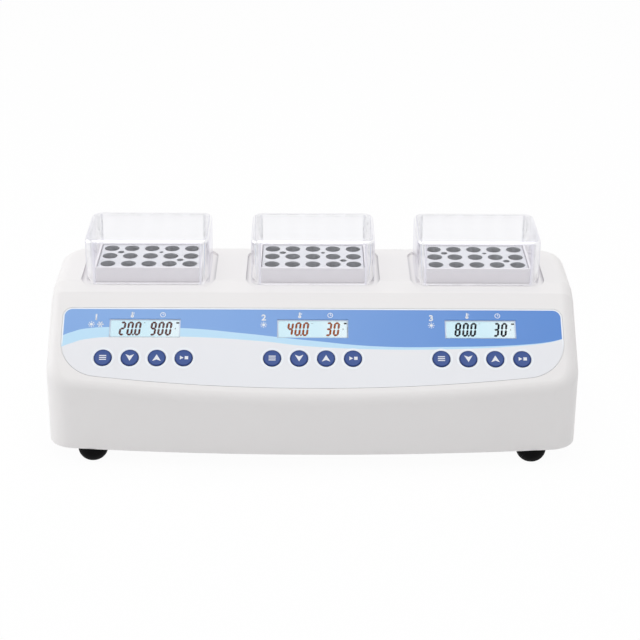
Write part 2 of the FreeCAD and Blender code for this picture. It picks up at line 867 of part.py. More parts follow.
def make_blocks():
    """Aluminium blocks with fifteen wells that end in a cone, two sunk fixing holes and a probe hole."""
    for name, x in STATIONS.items():
        block = new_body(f"block_{name}")
        base = new_sketch(block)
        rectangle(base, "block_width", "block_depth")
        pad(block, base, "block_height")
        doc.recompute()
        round_edges(block, edges_at(block.Shape, value("block_height")), "block_chamfer", "Chamfer", "Size")
        top = level("block_height")
        wells = new_sketch(block, top)
        grid = [(column, row) for column in WELL_COLUMNS for row in WELL_ROWS]
        places = [(f"{column} * well_pitch", f"{row} * well_pitch") for column, row in grid]
        circles(wells, places, "well_radius")
        drill(block, wells, "2 * well_radius", "well_depth", DrillPoint="Angled")
        block.Tip.setExpression("DrillPointAngle", bound("well_cone_angle"))
        screws = new_sketch(block, top)
        circles(screws, block_screw_places(), "small_head_radius + screw_gap")
        pocket(block, screws, "block_height - block_screw_web")
        shafts = new_sketch(block, top)
        circles(shafts, block_screw_places(), "small_screw_radius + screw_gap")
        pocket(block, shafts)
        probe = new_sketch(block, top)
        circles(probe, [("well_pitch / 2", "well_pitch / 2")], "probe_radius")
        pocket(block, probe, "probe_depth")
        block.Placement = level("plate_top", x, "block_y")


def make_collars():
    for name, x in STATIONS.items():
        collar = new_body(f"collar_{name}")
        ring = new_sketch(collar)
        rectangle(ring, "collar_width", "collar_depth", radius="collar_corner")
        rectangle(ring, "block_width + 2 * fit_gap", "block_depth + 2 * fit_gap")
        pad(collar, ring, "block_height + collar_proud")
        collar.Placement = level("plate_top", x, "block_y")


def make_lids():
    """Clear covers: a box with round corners and a rounded top, open below."""
    for name, x in STATIONS.items():
        lid = new_body(f"lid_{name}")
        outside = new_sketch(lid)
        rectangle(outside, "lid_width", "lid_depth", radius="lid_corner")
        pad(lid, outside, "lid_height")
        doc.recompute()
        round_edges(lid, edges_at(lid.Shape, value("lid_height")), "lid_round")
        inside = new_sketch(lid)
        inner = "lid_corner - lid_wall"
        rectangle(inside, "lid_width - 2 * lid_wall", "lid_depth - 2 * lid_wall", radius=inner)
        pocket(lid, inside, "lid_height - lid_wall", reverse=True)
        lid.Placement = level("seat_floor", x, "block_y")


# Heating and cooling.

def make_heat_plates():
    for name, x in STATIONS.items():
        plate = new_body(f"heat_plate_{name}")
        base = new_sketch(plate)
        rectangle(base, "plate_width", "plate_depth", radius="plate_corner")
        pad(plate, base, "plate_thickness")
        top = level("plate_thickness")
        holes = new_sketch(plate, top)
        circles(holes, hangers(), "case_screw_radius + screw_gap")
        pocket(plate, holes)
        threads = new_sketch(plate, top)
        circles(threads, block_screw_places(), "small_screw_radius + thread_gap")
        pocket(plate, threads, "small_screw_length + pilot_spare")
        plate.Placement = level("plate_bottom", x, "block_y")


def make_heaters():
    """Under each heated plate, a flat heater pad and a slab of insulation."""
    for name in HEATED:
        heater = new_body(f"heater_pad_{name}")
        mat = new_sketch(heater)
        rectangle(mat, "block_width", "block_depth", radius="plate_corner")
        pad(heater, mat, "heater_thickness")
        heater.Placement = level("plate_bottom - heater_thickness", STATIONS[name], "block_y")
        slab = new_body(f"insulation_{name}")
        foam = new_sketch(slab)
        rectangle(foam, "block_width + 2 * insulation_rim", "block_depth + 2 * insulation_rim")
        pad(slab, foam, "insulation_thickness")
        under = "plate_bottom - heater_thickness - insulation_thickness"
        slab.Placement = level(under, STATIONS[name], "block_y")


def make_sensors():
    """On each heat plate, a temperature sensor on a round lug and a thermal cut-out."""
    sensors = new_body("temperature_sensors")
    lugs = new_sketch(sensors, level("plate_top"))
    circles(lugs, stations([("-hanger_x", "0")]), "sensor_radius")
    pad(sensors, lugs, "sensor_thickness")
    beads = new_sketch(sensors, level("plate_top"))
    for x, y in stations([("-hanger_x", "0")]):
        rectangle(beads, "2 * sensor_bead", "2 * sensor_radius", x, f"{y} + sensor_radius / 2")
    pad(sensors, beads, "sensor_thickness + sensor_bead")
    cutouts = new_body("thermal_cutouts")
    cans = new_sketch(cutouts, level("plate_top"))
    circles(cans, stations([("hanger_x", "0")]), "cutout_radius")
    pad(cutouts, cans, "cutout_height")
    caps = new_sketch(cutouts, level("plate_top"))
    circles(caps, stations([("hanger_x", "0")]), "cutout_cap_radius")
    pad(cutouts, caps, "cutout_height + cutout_cap")


def make_cooler():
    """Under the left plate, the thermoelectric module and the finned heat sink that it warms."""
    module = new_body("cooling_module")
    for height, depth, size in (
        ("0", "cooler_ceramic", "cooler_size"),
        ("0", "cooler_thickness - cooler_ceramic", "cooler_size - 2 * cooler_rim"),
        ("cooler_thickness - cooler_ceramic", "cooler_ceramic", "cooler_size"),
    ):
        layer = new_sketch(module, level(height))
        rectangle(layer, size, size)
        pad(module, layer, depth)
    module.Placement = level("sink_top", "-block_spacing", "block_y")

    sink = new_body("heat_sink")
    slab = new_sketch(sink, level("sink_top - fan_top - sink_base"))
    rectangle(slab, "sink_width", "sink_depth")
    pad(sink, slab, "sink_base")
    fin = new_sketch(sink)
    rectangle(fin, "fin_thickness", "sink_depth", f"{-(FIN_COUNT - 1) / 2} * fin_pitch")
    linear(sink, pad(sink, fin, "sink_top - fan_top - sink_base"), "X_Axis", "fin_pitch", FIN_COUNT)
    sink.Placement = level("fan_top", "-block_spacing", "block_y")


def make_fan():
    """A square fan: a frame with struts and a hub plate below, and a rotor with twisted blades."""
    frame = new_body("fan_frame")
    square = new_sketch(frame)
    rectangle(square, "fan_size", "fan_size", radius="fan_corner")
    circles(square, [("0", "0")], "fan_bore_radius")
    circles(square, corners("fan_hole_spacing / 2", "fan_hole_spacing / 2"), "fan_hole_radius")
    pad(frame, square, "fan_depth")
    hub = new_sketch(frame)
    circles(hub, [("0", "0")], "fan_hub_radius")
    pad(frame, hub, "fan_web")
    strut = new_sketch(frame)
    inner, outer = "fan_hub_radius / 2", "fan_bore_radius + fan_web / 2"
    rectangle(strut, f"{outer} - {inner}", "fan_strut", f"({outer} + {inner}) / 2")
    polar(frame, pad(frame, strut, "fan_web"), STRUT_COUNT)

    rotor = new_body("fan_rotor")
    hub = new_sketch(rotor)
    circles(hub, [("0", "0")], "fan_hub_radius")
    pad(rotor, hub, "fan_hub_height")
    sections = []
    tip = "fan_bore_radius - fan_tip_gap"
    for reach, pitch in (("fan_hub_radius - blade_root_sink", "blade_root_pitch"), (tip, "blade_tip_pitch")):
        section = new_sketch(rotor, level(reach), "YZ_Plane")
        along, up = f"cos({pitch})", f"sin({pitch})"
        outline(section, [
            (
                f"({chord} * {along} - {thick} * {up}) / 2",
                f"(fan_hub_height + {chord} * {up} + {thick} * {along}) / 2",
            )
            for chord, thick in (
                ("-blade_chord", "-blade_thickness"), ("blade_chord", "-blade_thickness"),
                ("blade_chord", "blade_thickness"), ("-blade_chord", "blade_thickness"),
            )
        ])
        sections.append(section)
    blade = rotor.newObject("PartDesign::AdditiveLoft", "blade")
    blade.Profile = sections[0]
    blade.Sections = [sections[1]]
    blade.Ruled = True
    polar(rotor, blade, BLADE_COUNT)
    frame.Placement = level("base_top", "-block_spacing", "block_y")
    rotor.Placement = level("base_top + fan_web + fan_axial_gap", "-block_spacing", "block_y")


# Boards on the base.

def make_boards():
    """The control board and the power supply, each a board with its taller components, on standoffs."""
    boards = {
        "control_board": ("control_width", "control_depth", "0", "block_y"),
        "power_supply": ("supply_width", "supply_depth", "block_spacing", "supply_y"),
    }
    for name, (width, depth, x, y) in boards.items():
        board = new_body(name)
        sheet_outline = new_sketch(board)
        rectangle(sheet_outline, width, depth)
        pad(board, sheet_outline, "board_thickness")
        for part in COMPONENTS[name]:
            footprint = new_sketch(board)
            rectangle(footprint, f"{part}_width", f"{part}_depth", f"{part}_across", f"{part}_along")
            pad(board, footprint, f"board_thickness + {part}_height")
        holes = new_sketch(board, level("board_thickness"))
        circles(holes, board_corners(width, depth, "0", "0"), "small_screw_radius + screw_gap")
        pocket(board, holes)
        board.Placement = level("base_top + standoff_height", x, y)

    standoffs = new_body("board_standoffs")
    rings = new_sketch(standoffs, level("base_top"))
    circles(rings, base_board_places(), "standoff_radius")
    circles(rings, base_board_places(), "small_screw_radius + thread_gap")
    pad(standoffs, rings, "standoff_height")


# Service panel.

def make_inlet():
    """The mains inlet: a flange on the sunk field, a socket with two sloped corners, three pins and tabs."""
    inlet = new_body("power_inlet")
    flange = new_sketch(inlet)
    rectangle(flange, "inlet_width + 2 * inlet_lip", "inlet_height + 2 * inlet_lip", radius="inlet_corner")
    pad(inlet, flange, "inlet_flange")
    shell = new_sketch(inlet)
    rectangle(shell, "inlet_width", "inlet_height", radius="inlet_corner")
    pad(inlet, shell, "inlet_body", reverse=True)
    socket = new_sketch(inlet, level("inlet_flange"))
    half, rise = "socket_width / 2", "socket_height / 2"
    outline(socket, [
        (f"-{half}", f"-{rise}"), (half, f"-{rise}"),
        (half, f"{rise} - socket_slope"), (f"{half} - socket_slope", rise),
        (f"socket_slope - {half}", rise), (f"-{half}", f"{rise} - socket_slope"),
    ])
    pocket(inlet, socket, "socket_depth")
    pin_places = [("-pin_spacing", "-pin_drop"), ("0", "pin_drop"), ("pin_spacing", "-pin_drop")]
    pins = new_sketch(inlet, level("inlet_flange - socket_depth"))
    tabs = new_sketch(inlet, level("-inlet_body"))
    for u, v in pin_places:
        rectangle(pins, "pin_width", "pin_height", u, v)
        rectangle(tabs, "pin_width / 2", "pin_height", u, v)
    pad(inlet, pins, "pin_length")
    pad(inlet, tabs, "tab_length", reverse=True)
    inlet.Placement = back_frame("inlet_x", "service_floor", "service_z")


def make_power_switch():
    """A rocker switch. The rocker turns on two stub pins in its frame and rests tipped to its off side."""
    frame = new_body("switch_frame")
    flange = new_sketch(frame)
    lip = "2 * rocker_frame_lip"
    rectangle(flange, f"rocker_frame_width + {lip}", f"rocker_frame_height + {lip}")
    pad(frame, flange, "rocker_frame_flange")
    shell = new_sketch(frame)
    rectangle(shell, "rocker_frame_width", "rocker_frame_height")
    pad(frame, shell, "rocker_frame_depth", reverse=True)
    well = new_sketch(frame, level("rocker_frame_flange"))
    rectangle(well, "rocker_width + 2 * fit_gap", "2 * (rocker_reach + rocker_gap)")
    pocket(frame, well, "rocker_well_depth")
    pin_holes = new_sketch(frame, plane="YZ_Plane")
    circles(pin_holes, [("0", "0")], "rocker_pin_radius + fit_gap")
    across = pocket(frame, pin_holes, "rocker_width + 2 * fit_gap + 2 * (rocker_pin_length + fit_gap)")
    across.Midplane = True

    rocker = new_body("switch_rocker")
    side = new_sketch(rocker, plane="YZ_Plane")
    outline(side, [
        ("-rocker_foot_half", "-rocker_foot"), ("rocker_foot_half", "-rocker_foot"), ("rocker_half", "0"),
        ("rocker_half", "rocker_ridge"), ("0", "rocker_valley"), ("-rocker_half", "rocker_ridge"),
        ("-rocker_half", "0"),
    ])
    pad(rocker, side, "rocker_width").Midplane = True
    pins = new_sketch(rocker, plane="YZ_Plane")
    circles(pins, [("0", "0")], "rocker_pin_radius")
    pad(rocker, pins, "rocker_width + 2 * rocker_pin_length").Midplane = True
    frame.Placement = back_frame("switch_x", "service_floor", "service_z")
    tipped = FreeCAD.Rotation(FreeCAD.Vector(1, 0, 0), value("rocker_tilt"))
    rocker.Placement = frame.Placement.multiply(FreeCAD.Placement(FreeCAD.Vector(), tipped))


# Screws.

def make_screws(label, places, seat, head_radius, head, shank_radius, shank, down=False, frame=None):
    """A set of like screws. Their heads stand on the seat level and their shanks go on from there."""
    screws = new_body(label)
    for radius, length, against in ((head_radius, head, not down), (shank_radius, shank, down)):
        ring = new_sketch(screws, level(seat))
        circles(ring, places, radius)
        pad(screws, ring, length, reverse=against)
    if frame is not None:
        screws.Placement = frame
    return screws


def make_all_screws():
    case = ("case_screw_radius", "case_head_radius")
    small = ("small_head_radius", "small_head", "small_screw_radius")
    make_screws(
        "case_screws", post_places(), "base_height + case_head",
        case[1], "case_head", case[0], "case_screw_length + base_thickness - case_head",
    )
    make_screws(
        "plate_screws", stations(hangers()), "plate_bottom",
        case[1], "case_head", case[0], "plate_thickness + plate_screw_length",
    )
    make_screws(
        "block_screws", stations(block_screw_places()), "plate_top + block_screw_web",
        *small, "block_screw_web + small_screw_length", down=True,
    )
    make_screws(
        "board_screws", base_board_places(), "base_top + standoff_height + board_thickness",
        *small, "board_thickness + small_screw_length", down=True,
    )
    make_screws(
        "display_screws", display_boss_places(), "board_back",
        *small, "board_thickness + small_screw_length", frame=panel_frame(),
    )
    feet = make_screws(
        "foot_screws", foot_places().values(), "foot_recess",
        "foot_head_radius", "foot_head", "foot_screw_radius", "base_top + foot_nut - foot_recess",
    )
    nuts = new_sketch(feet, level("base_top"))
    circles(nuts, foot_places().values(), "foot_nut_radius")
    pad(feet, nuts, "foot_nut")


def check_and_write():
    doc.recompute()
    failed = [made.Label for made in doc.Objects if {"Invalid", "Error"} & set(made.State)]
    failed += [piece.Label for piece in pieces if piece.Shape.isNull() or not piece.Shape.isValid()]
    if failed:
        raise RuntimeError(f"failed: {failed}")
    os.makedirs("parts", exist_ok=True)
    for piece in pieces:
        piece.Shape.exportStep(f"parts/{piece.Label}.step")
        print(f"{piece.Label}: {len(piece.Shape.Solids)} solids, {piece.Shape.Volume / 1000:.2f} cm3")


fill_sheet()
make_housing()
make_base()
make_feet()
make_overlay()
make_displays()
make_keys()
make_display_board()
make_blocks()
make_collars()
make_lids()
make_heat_plates()
make_heaters()
make_sensors()
make_cooler()
make_fan()
make_boards()
make_inlet()
make_power_switch()
make_all_screws()
check_and_write()
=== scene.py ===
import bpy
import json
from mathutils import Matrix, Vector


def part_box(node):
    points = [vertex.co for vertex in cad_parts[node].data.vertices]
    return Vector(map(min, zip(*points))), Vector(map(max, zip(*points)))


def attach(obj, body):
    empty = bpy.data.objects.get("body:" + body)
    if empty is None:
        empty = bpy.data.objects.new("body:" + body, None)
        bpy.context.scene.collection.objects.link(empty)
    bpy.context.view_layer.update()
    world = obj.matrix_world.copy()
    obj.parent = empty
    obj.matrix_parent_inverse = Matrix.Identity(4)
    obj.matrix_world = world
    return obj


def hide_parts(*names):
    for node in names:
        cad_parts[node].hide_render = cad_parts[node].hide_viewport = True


bl_info = {
    "name": "Dry Block Heater",
    "version": (1, 0, 0),
    "blender": (4, 5, 0),
    "location": "View3D > Sidebar > Block Heater",
    "description": "Dresses a three-block dry bath: case, panel, displays, keys, lids, blocks and stage",
    "category": "Object",
}

import json
import math
from contextlib import contextmanager
from functools import cached_property, reduce

import bmesh
import bpy
from bpy.props import FloatProperty, FloatVectorProperty, PointerProperty
from mathutils import Matrix, Vector

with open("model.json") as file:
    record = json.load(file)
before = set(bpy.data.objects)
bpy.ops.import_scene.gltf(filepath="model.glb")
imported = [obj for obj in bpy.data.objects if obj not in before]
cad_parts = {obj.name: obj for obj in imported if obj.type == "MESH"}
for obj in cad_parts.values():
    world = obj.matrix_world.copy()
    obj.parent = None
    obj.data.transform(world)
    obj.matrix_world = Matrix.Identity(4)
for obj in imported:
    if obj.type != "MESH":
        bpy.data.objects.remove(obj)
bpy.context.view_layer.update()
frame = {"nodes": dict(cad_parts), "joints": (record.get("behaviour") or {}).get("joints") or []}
NODES = frame["nodes"]
JOINTS = {joint["name"]: joint for joint in frame["joints"]}
MM = 0.001
NEAR = 0.01 * MM
STATIONS = ("left", "middle", "right")
KEY_NAMES = ("menu", "down", "up", "start")


# Places read from the frame.

OUT = -Vector(JOINTS["key_middle_up_press"]["axis"]).normalized()
ACROSS = Vector((1, 0, 0))
UPHILL = OUT.cross(ACROSS)


def panel_span(node):
    """Lowest and highest place of a node across the panel, up its slope and out of its face."""
    places = [(v.co.x, v.co.dot(UPHILL), v.co.dot(OUT)) for v in NODES[node].data.vertices]
    return Vector(map(min, zip(*places))), Vector(map(max, zip(*places)))


def panel_middle(node):
    low, high = panel_span(node)
    return (low + high) / 2


def on_panel(across, uphill, out):
    """The matrix that lays a flat piece on the panel, its Z out of the face."""
    place = ACROSS * across + UPHILL * uphill + OUT * out
    return Matrix.Translation(place) @ Matrix((ACROSS, UPHILL, OUT)).transposed().to_4x4()


PANEL_FACE = panel_span("panel_overlay")[1].z
GLASS_BACK = panel_span("lcd_window_middle")[0].z
STATION_PITCH = panel_middle("lcd_window_right").x
KEY_ROW = panel_middle("key_middle_up").y
KEY_PITCH = panel_middle("key_left_down").x - panel_middle("key_left_menu").x


def tone(red, green, blue):
    """A display colour, 0 to 255, as the linear colour that a shader takes."""
    parts = [channel / 255 for channel in (red, green, blue)]
    return tuple(p / 12.92 if p <= 0.04045 else ((p + 0.055) / 1.055) ** 2.4 for p in parts)


# Settings.

def colour(name, description, red, green, blue):
    return FloatVectorProperty(
        name=name, description=description, subtype="COLOR", min=0, max=1, default=tone(red, green, blue),
    )


def length(name, description, default):
    return FloatProperty(name=name, description=description, unit="LENGTH", min=0, default=default * MM)


def number(name, description, default, high=1.0):
    return FloatProperty(name=name, description=description, min=0, max=high, default=default)


def angle(name, description, default):
    return FloatProperty(name=name, description=description, subtype="ANGLE", default=math.radians(default))


def watts(name, description, default):
    return FloatProperty(name=name, description=description, unit="POWER", min=0, default=default)


class HEATER_PG_case(bpy.types.PropertyGroup):
    plastic: colour("Plastic", "Warm white of the moulded case", 241, 239, 239)
    rubber: colour("Rubber", "Black of the feet", 3, 3, 4)
    grain: length("Grain", "Size of the moulded texture", 0.7)
    # The seat tone is painted shade: a darker colour laid along the walls of the lid seats, where shade
    # falls.
    dust: colour("Dust", "Duller tone of the seats beside the lids", 210, 208, 210)
    dust_width: length("Dust width", "Reach of the duller tone from a seat's wall", 2.8)
    dust_depth: length("Dust depth", "Reach of the duller tone below the top", 3.0)
    seat_margin: length("Seat margin", "Room between a lid and the wall of its seat", 4.0)
    seat_corner: length("Seat corner", "Radius of a seat's corners", 12.0)


class HEATER_PG_panel(bpy.types.PropertyGroup):
    blue: colour("Band", "Blue of the upper band", 124, 169, 229)
    deep: colour("Deep band", "Blue of the upper band at its right end", 66, 130, 211)
    sky: colour("Stripe", "Light blue of the wave stripe", 190, 228, 252)
    paper: colour("Field", "Pale grey below the wave", 237, 238, 242)
    ink: colour("Ink", "White of the printed signs", 246, 250, 255)
    border: length("Border", "White line printed along the upper edge", 1.0)
    corner: length("Corner", "Radius of the film's upper corners", 7.0)
    halo: length("Halo", "Width of the pale ring printed round each key", 0.9)
    print_depth: length("Print depth", "How far the printed signs stand up", 0.04)


class HEATER_PG_display(bpy.types.PropertyGroup):
    cool: colour("Cool light", "Bluer part of the lit display", 205, 233, 243)
    # The whiter light is a painted highlight on the lit display.
    warm: colour("White light", "Whiter part of the lit display", 226, 240, 245)
    rim: length("Rim", "Width of the unlit rim of the display", 0.75)
    digit_height: length("Digit height", "Height of the numerals", 11.2)
    digit_width: length("Digit width", "Width of one numeral", 4.4)
    digit_pitch: length("Digit pitch", "Distance from one numeral to the next", 5.5)
    segment: length("Segment", "Thickness of a segment", 1.5)
    lift: length("Lift", "Rise of the numerals above the window's middle", 0.15)
    slant: number("Slant", "Lean of the numerals", 0.12)


class HEATER_PG_key(bpy.types.PropertyGroup):
    cap: colour("Cap", "Dark blue of the keys", 66, 90, 152)
    # The rim colour is painted shade on the keys' own blue.
    rim: colour("Rim", "Deeper blue of the edge of the keys", 26, 54, 116)
    sign: colour("Sign", "White of the key signs", 244, 246, 252)
    stem: length("Stem", "Radius of the stem below a key", 2.5)
    stem_height: length("Stem height", "Height of the stem below the flange", 2.2)
    flange_height: length("Flange height", "Height of the flange above the stem's foot", 3.2)
    flange_width: length("Flange width", "Reach of the flange under the panel", 1.3)
    edge: length("Edge", "Rounding of a key's edge", 0.5)
    dish: length("Dish", "How far a key's face is dished", 0.12)


class HEATER_PG_lid(bpy.types.PropertyGroup):
    tint: colour("Tint", "Tint of the clear plastic", 253, 253, 254)
    outline: colour("Outline", "Shade of the plastic where it is seen edge on", 206, 204, 222)
    wall: length("Wall", "Thickness of the lid", 2.0)
    corner: length("Corner", "Radius of the upright corners", 8.0)
    edge: length("Top edge", "Radius of the upper edges", 2.5)
    foot: length("Foot", "Rounding of the lower edges", 0.35)
    glance: number("Glance", "Shine of a wall that is seen at a glance", 0.5)
    brim: number("Brim", "Shine along the rounded edges", 0.6)


class HEATER_PG_metal(bpy.types.PropertyGroup):
    block: colour("Block", "Blasted aluminium of the blocks", 238, 239, 242)
    collar: colour("Collar", "Satin lacquer of the collars", 252, 249, 252)
    steel: colour("Steel", "Plated steel of the screws", 176, 176, 180)
    pin: colour("Pin", "Nickel of the inlet's pins", 214, 212, 206)


class HEATER_PG_stage(bpy.types.PropertyGroup):
    floor: colour("Floor", "Pale floor", 250, 250, 250)
    camera_place: FloatVectorProperty(
        name="Camera", description="Place of the camera", subtype="TRANSLATION", unit="LENGTH",
        default=(-0.001234, -1.16879, 0.60811),
    )
    pitch: angle("Pitch", "Angle of the view below level", 24.209)
    yaw: angle("Yaw", "Turn of the view to the right", 0.324)
    roll: angle("Roll", "Tilt of the picture", 0.348)
    lens: number("Lens", "Focal length on a 36 mm frame, in mm", 98.06, 500.0)
    ambient: number("Ambient", "Strength of the light from all round", 0.54, 4.0)
    key_light: watts("Key light", "Power of the overhead lamp", 10.8)
    fill_light: watts("Fill light", "Power of the lamp at the front", 0.4)
    side_light: watts("Side light", "Power of the lamp at the left", 4.4)


class HEATER_PG_settings(bpy.types.PropertyGroup):
    case: PointerProperty(type=HEATER_PG_case)
    panel: PointerProperty(type=HEATER_PG_panel)
    display: PointerProperty(type=HEATER_PG_display)
    key: PointerProperty(type=HEATER_PG_key)
    lid: PointerProperty(type=HEATER_PG_lid)
    metal: PointerProperty(type=HEATER_PG_metal)
    stage: PointerProperty(type=HEATER_PG_stage)


# Modelling by hand.

def deselect():
    bpy.ops.object.select_all(action="DESELECT")


def activate(piece):
    deselect()
    piece.select_set(True)
    bpy.context.view_layer.objects.active = piece


def primitive(kind, name, **sizes):
    deselect()
    getattr(bpy.ops.mesh, f"primitive_{kind}_add")(**sizes)
    piece = bpy.context.active_object
    piece.name = piece.data.name = name
    return piece


@contextmanager
def editing(piece):
    activate(piece)
    bpy.ops.object.mode_set(mode="EDIT")
    yield
    bpy.ops.object.mode_set(mode="OBJECT")


def pick(piece, kind, test):
    """In edit mode, select the faces, edges or verts that pass the test."""
    bpy.ops.mesh.select_mode(type={"faces": "FACE", "edges": "EDGE", "verts": "VERT"}[kind])
    bpy.ops.mesh.select_all(action="DESELECT")
    mesh = bmesh.from_edit_mesh(piece.data)
    for item in getattr(mesh, kind):
        if test(item):
            item.select_set(True)
    bmesh.update_edit_mesh(piece.data)


def upright(edge):
    return abs(edge.verts[0].co.z - edge.verts[1].co.z) > NEAR


def face_outwards():
    """In edit mode, turn all faces outwards."""
    bpy.ops.mesh.select_all(action="SELECT")
    bpy.ops.mesh.normals_make_consistent(inside=False)


def modify(piece, kind, **settings):
    activate(piece)
    modifier = piece.modifiers.new(kind.title(), kind)
    for name, setting in settings.items():
        setattr(modifier, name, setting)
    bpy.ops.object.modifier_apply(modifier=modifier.name)


def settle(piece, matrix):
    """Move the piece and put its place into its mesh."""
    activate(piece)
    piece.matrix_world = matrix
    bpy.ops.object.transform_apply(location=True, rotation=True, scale=True)


def smooth(piece, degrees=35):
    activate(piece)
    bpy.ops.object.shade_smooth_by_angle(angle=math.radians(degrees))


def copied(piece, name, matrix):
    """A copy of a modelled piece, with its own mesh, in its place."""
    activate(piece)
    bpy.ops.object.duplicate(linked=False)
    copy = bpy.context.active_object
    copy.name = copy.data.name = name
    settle(copy, matrix)
    return copy


def discard(*pieces):
    """Delete pieces that were modelled to be copied."""
    for piece in pieces:
        bpy.data.meshes.remove(piece.data)


def joined(pieces, name):
    activate(pieces[0])
    for piece in pieces:
        piece.select_set(True)
    if len(pieces) > 1:
        bpy.ops.object.join()
    whole = bpy.context.active_object
    whole.name = whole.data.name = name
    return whole


def dress(piece, body, slot, finish, *nodes):
    """Give a finished piece its material, hang it on the body that it rides on, and hide the CAD nodes that
    it takes the place of.
    """
    piece.data.materials.clear()
    piece.data.materials.append(finish.data)
    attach(piece, body)
    if nodes:
        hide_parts(*nodes)


def paint(finish, *nodes):
    """Give CAD nodes that stay in view their material."""
    for node in nodes:
        for slot in NODES[node].material_slots:
            slot.material = finish.data


# Shading.

# Sockets of the Mix node that hold its two colours and their mix.
MIX_FIRST, MIX_SECOND, MIX_RESULT = 6, 7, 2


class Wire:
    """A socket of a finish. Arithmetic on it adds Math nodes."""

    def __init__(self, finish, socket):
        self.finish = finish
        self.socket = socket

    def _maths(self, operation, *terms):
        return self.finish.node("ShaderNodeMath", {"operation": operation}, dict(enumerate(terms)))

    def __add__(self, other):
        return self._maths("ADD", self, other)

    def __sub__(self, other):
        return self._maths("SUBTRACT", self, other)

    def __rsub__(self, other):
        return self._maths("SUBTRACT", other, self)

    def __mul__(self, other):
        return self._maths("MULTIPLY", self, other)

    def __truediv__(self, other):
        return self._maths("DIVIDE", self, other)

    def __gt__(self, other):
        return self._maths("GREATER_THAN", self, other)

    def __lt__(self, other):
        return self._maths("LESS_THAN", self, other)

    __radd__ = __add__
    __rmul__ = __mul__

    def most(self, other):
        return self._maths("MAXIMUM", self, other)

    def size(self):
        return self._maths("ABSOLUTE", self)

    def whole(self):
        return self._maths("ROUND", self)

    def fraction(self):
        return self._maths("FRACT", self)

    def hypot(self, other):
        """Distance over two lengths at right angles."""
        return self._maths("SQRT", self * self + other * other)

    def swing(self, width):
        """Noise as a swing about 0 of about that width."""
        return (self - 0.5) * width


class Finish:
    """A material with its nodes. The light of a world is made in the same way."""

    def __init__(self, name, library="materials"):
        self.data = getattr(bpy.data, library).new(name)
        self.data.use_nodes = True
        self.tree = self.data.node_tree
        self.tree.nodes.clear()

    def node(self, kind, settings=None, inputs=None, output=0):
        """Add a node: its settings first, then the values or wires of its sockets."""
        made = self.tree.nodes.new(kind)
        for name, setting in (settings or {}).items():
            if name == "points":
                curve = made.mapping.curves[0]
                for point, spot in zip(curve.points, (setting[0], setting[-1])):
                    point.location = spot
                for spot in setting[1:-1]:
                    curve.points.new(*spot)
                made.mapping.update()
            else:
                setattr(made, name, setting)
        for name, given in (inputs or {}).items():
            if isinstance(given, Wire):
                self.tree.links.new(given.socket, made.inputs[name])
            elif made.inputs[name].type == "RGBA":
                made.inputs[name].default_value = (*given, 1)
            else:
                made.inputs[name].default_value = given
        return Wire(self, made.outputs[output]) if made.outputs else None

    @cached_property
    def place(self):
        return self.node("ShaderNodeTexCoord", output="Object")

    @cached_property
    def x(self):
        return self.part_of(self.place, "X")

    @cached_property
    def y(self):
        return self.part_of(self.place, "Y")

    @cached_property
    def z(self):
        return self.part_of(self.place, "Z")

    def part_of(self, vector, axis):
        return self.node("ShaderNodeSeparateXYZ", inputs={"Vector": vector}, output=axis)

    def mix(self, factor, first, second):
        """A colour between two colours."""
        colours = {"Factor": factor, MIX_FIRST: first, MIX_SECOND: second}
        return self.node("ShaderNodeMix", {"data_type": "RGBA"}, colours, MIX_RESULT)

    def noise(self, size, detail=2.0, stretch=(1, 1, 1)):
        """Soft noise whose grains measure about the size, in metres."""
        scaled = self.node("ShaderNodeMapping", inputs={"Vector": self.place, "Scale": stretch})
        inputs = {"Vector": scaled, "Scale": 1 / size, "Detail": detail}
        return self.node("ShaderNodeTexNoise", inputs=inputs)

    def ramp(self, wire, low, high):
        """0 below the low value, 1 above the high one, smooth between."""
        return self.node(
            "ShaderNodeMapRange", {"interpolation_type": "SMOOTHSTEP"},
            {"Value": wire, "From Min": low, "From Max": high},
        )

    def ray(self, *kinds):
        """1 for rays of the kinds named, 0 for others."""
        wires = [self.node("ShaderNodeLightPath", output=f"Is {kind} Ray") for kind in kinds]
        return reduce(Wire.most, wires)

    def bump(self, height, depth):
        return self.node("ShaderNodeBump", inputs={"Height": height, "Distance": depth})

    def surface(self, **inputs):
        named = {name.replace("_", " "): given for name, given in inputs.items()}
        return self.node("ShaderNodeBsdfPrincipled", inputs=named)

    def show(self, shader, output="Material"):
        self.node(f"ShaderNodeOutput{output}", inputs={"Surface": shader})
        return self

    def coat(self, **inputs):
        """Show one surface all over."""
        return self.show(self.surface(**inputs))

    def moulded(self, shade, grain, depth, roughness, spread, painted_shade=None, **extra):
        """A moulded surface: fine grain, slow changes of tone and small changes of gloss.
        The last argument is painted shade: a mask and the darker colour that it lays over the surface where
        shade falls."""
        slow = self.noise(60 * MM, 3)
        fine = self.noise(grain, 3)
        darker = tuple(channel * (1 - 2 * spread) for channel in shade)
        tint = self.mix(slow, darker, shade)
        if painted_shade:
            mask, shade_colour = painted_shade
            tint = self.mix(mask, tint, shade_colour)
        gloss = roughness + fine.swing(0.12) + slow.swing(0.06)
        return self.coat(Base_Color=tint, Roughness=gloss, Normal=self.bump(fine, depth), **extra)


# Finishes of this object. Places in them are in millimetres.

def rubber_finish(case):
    return Finish("foot_rubber").moulded(
        case.rubber, grain=0.5 * MM, depth=0.05 * MM, roughness=0.72, spread=0.2, Specular_IOR_Level=0.1,
    )


def panel_place(finish):
    """Place across the panel and up its slope from the row of keys."""
    uphill = finish.y * UPHILL.y + finish.z * UPHILL.z - KEY_ROW
    return finish.x / MM, uphill / MM


def from_station(across):
    """Place across from the middle of the nearest block."""
    pitch = STATION_PITCH / MM
    return across - (across / pitch).whole() * pitch


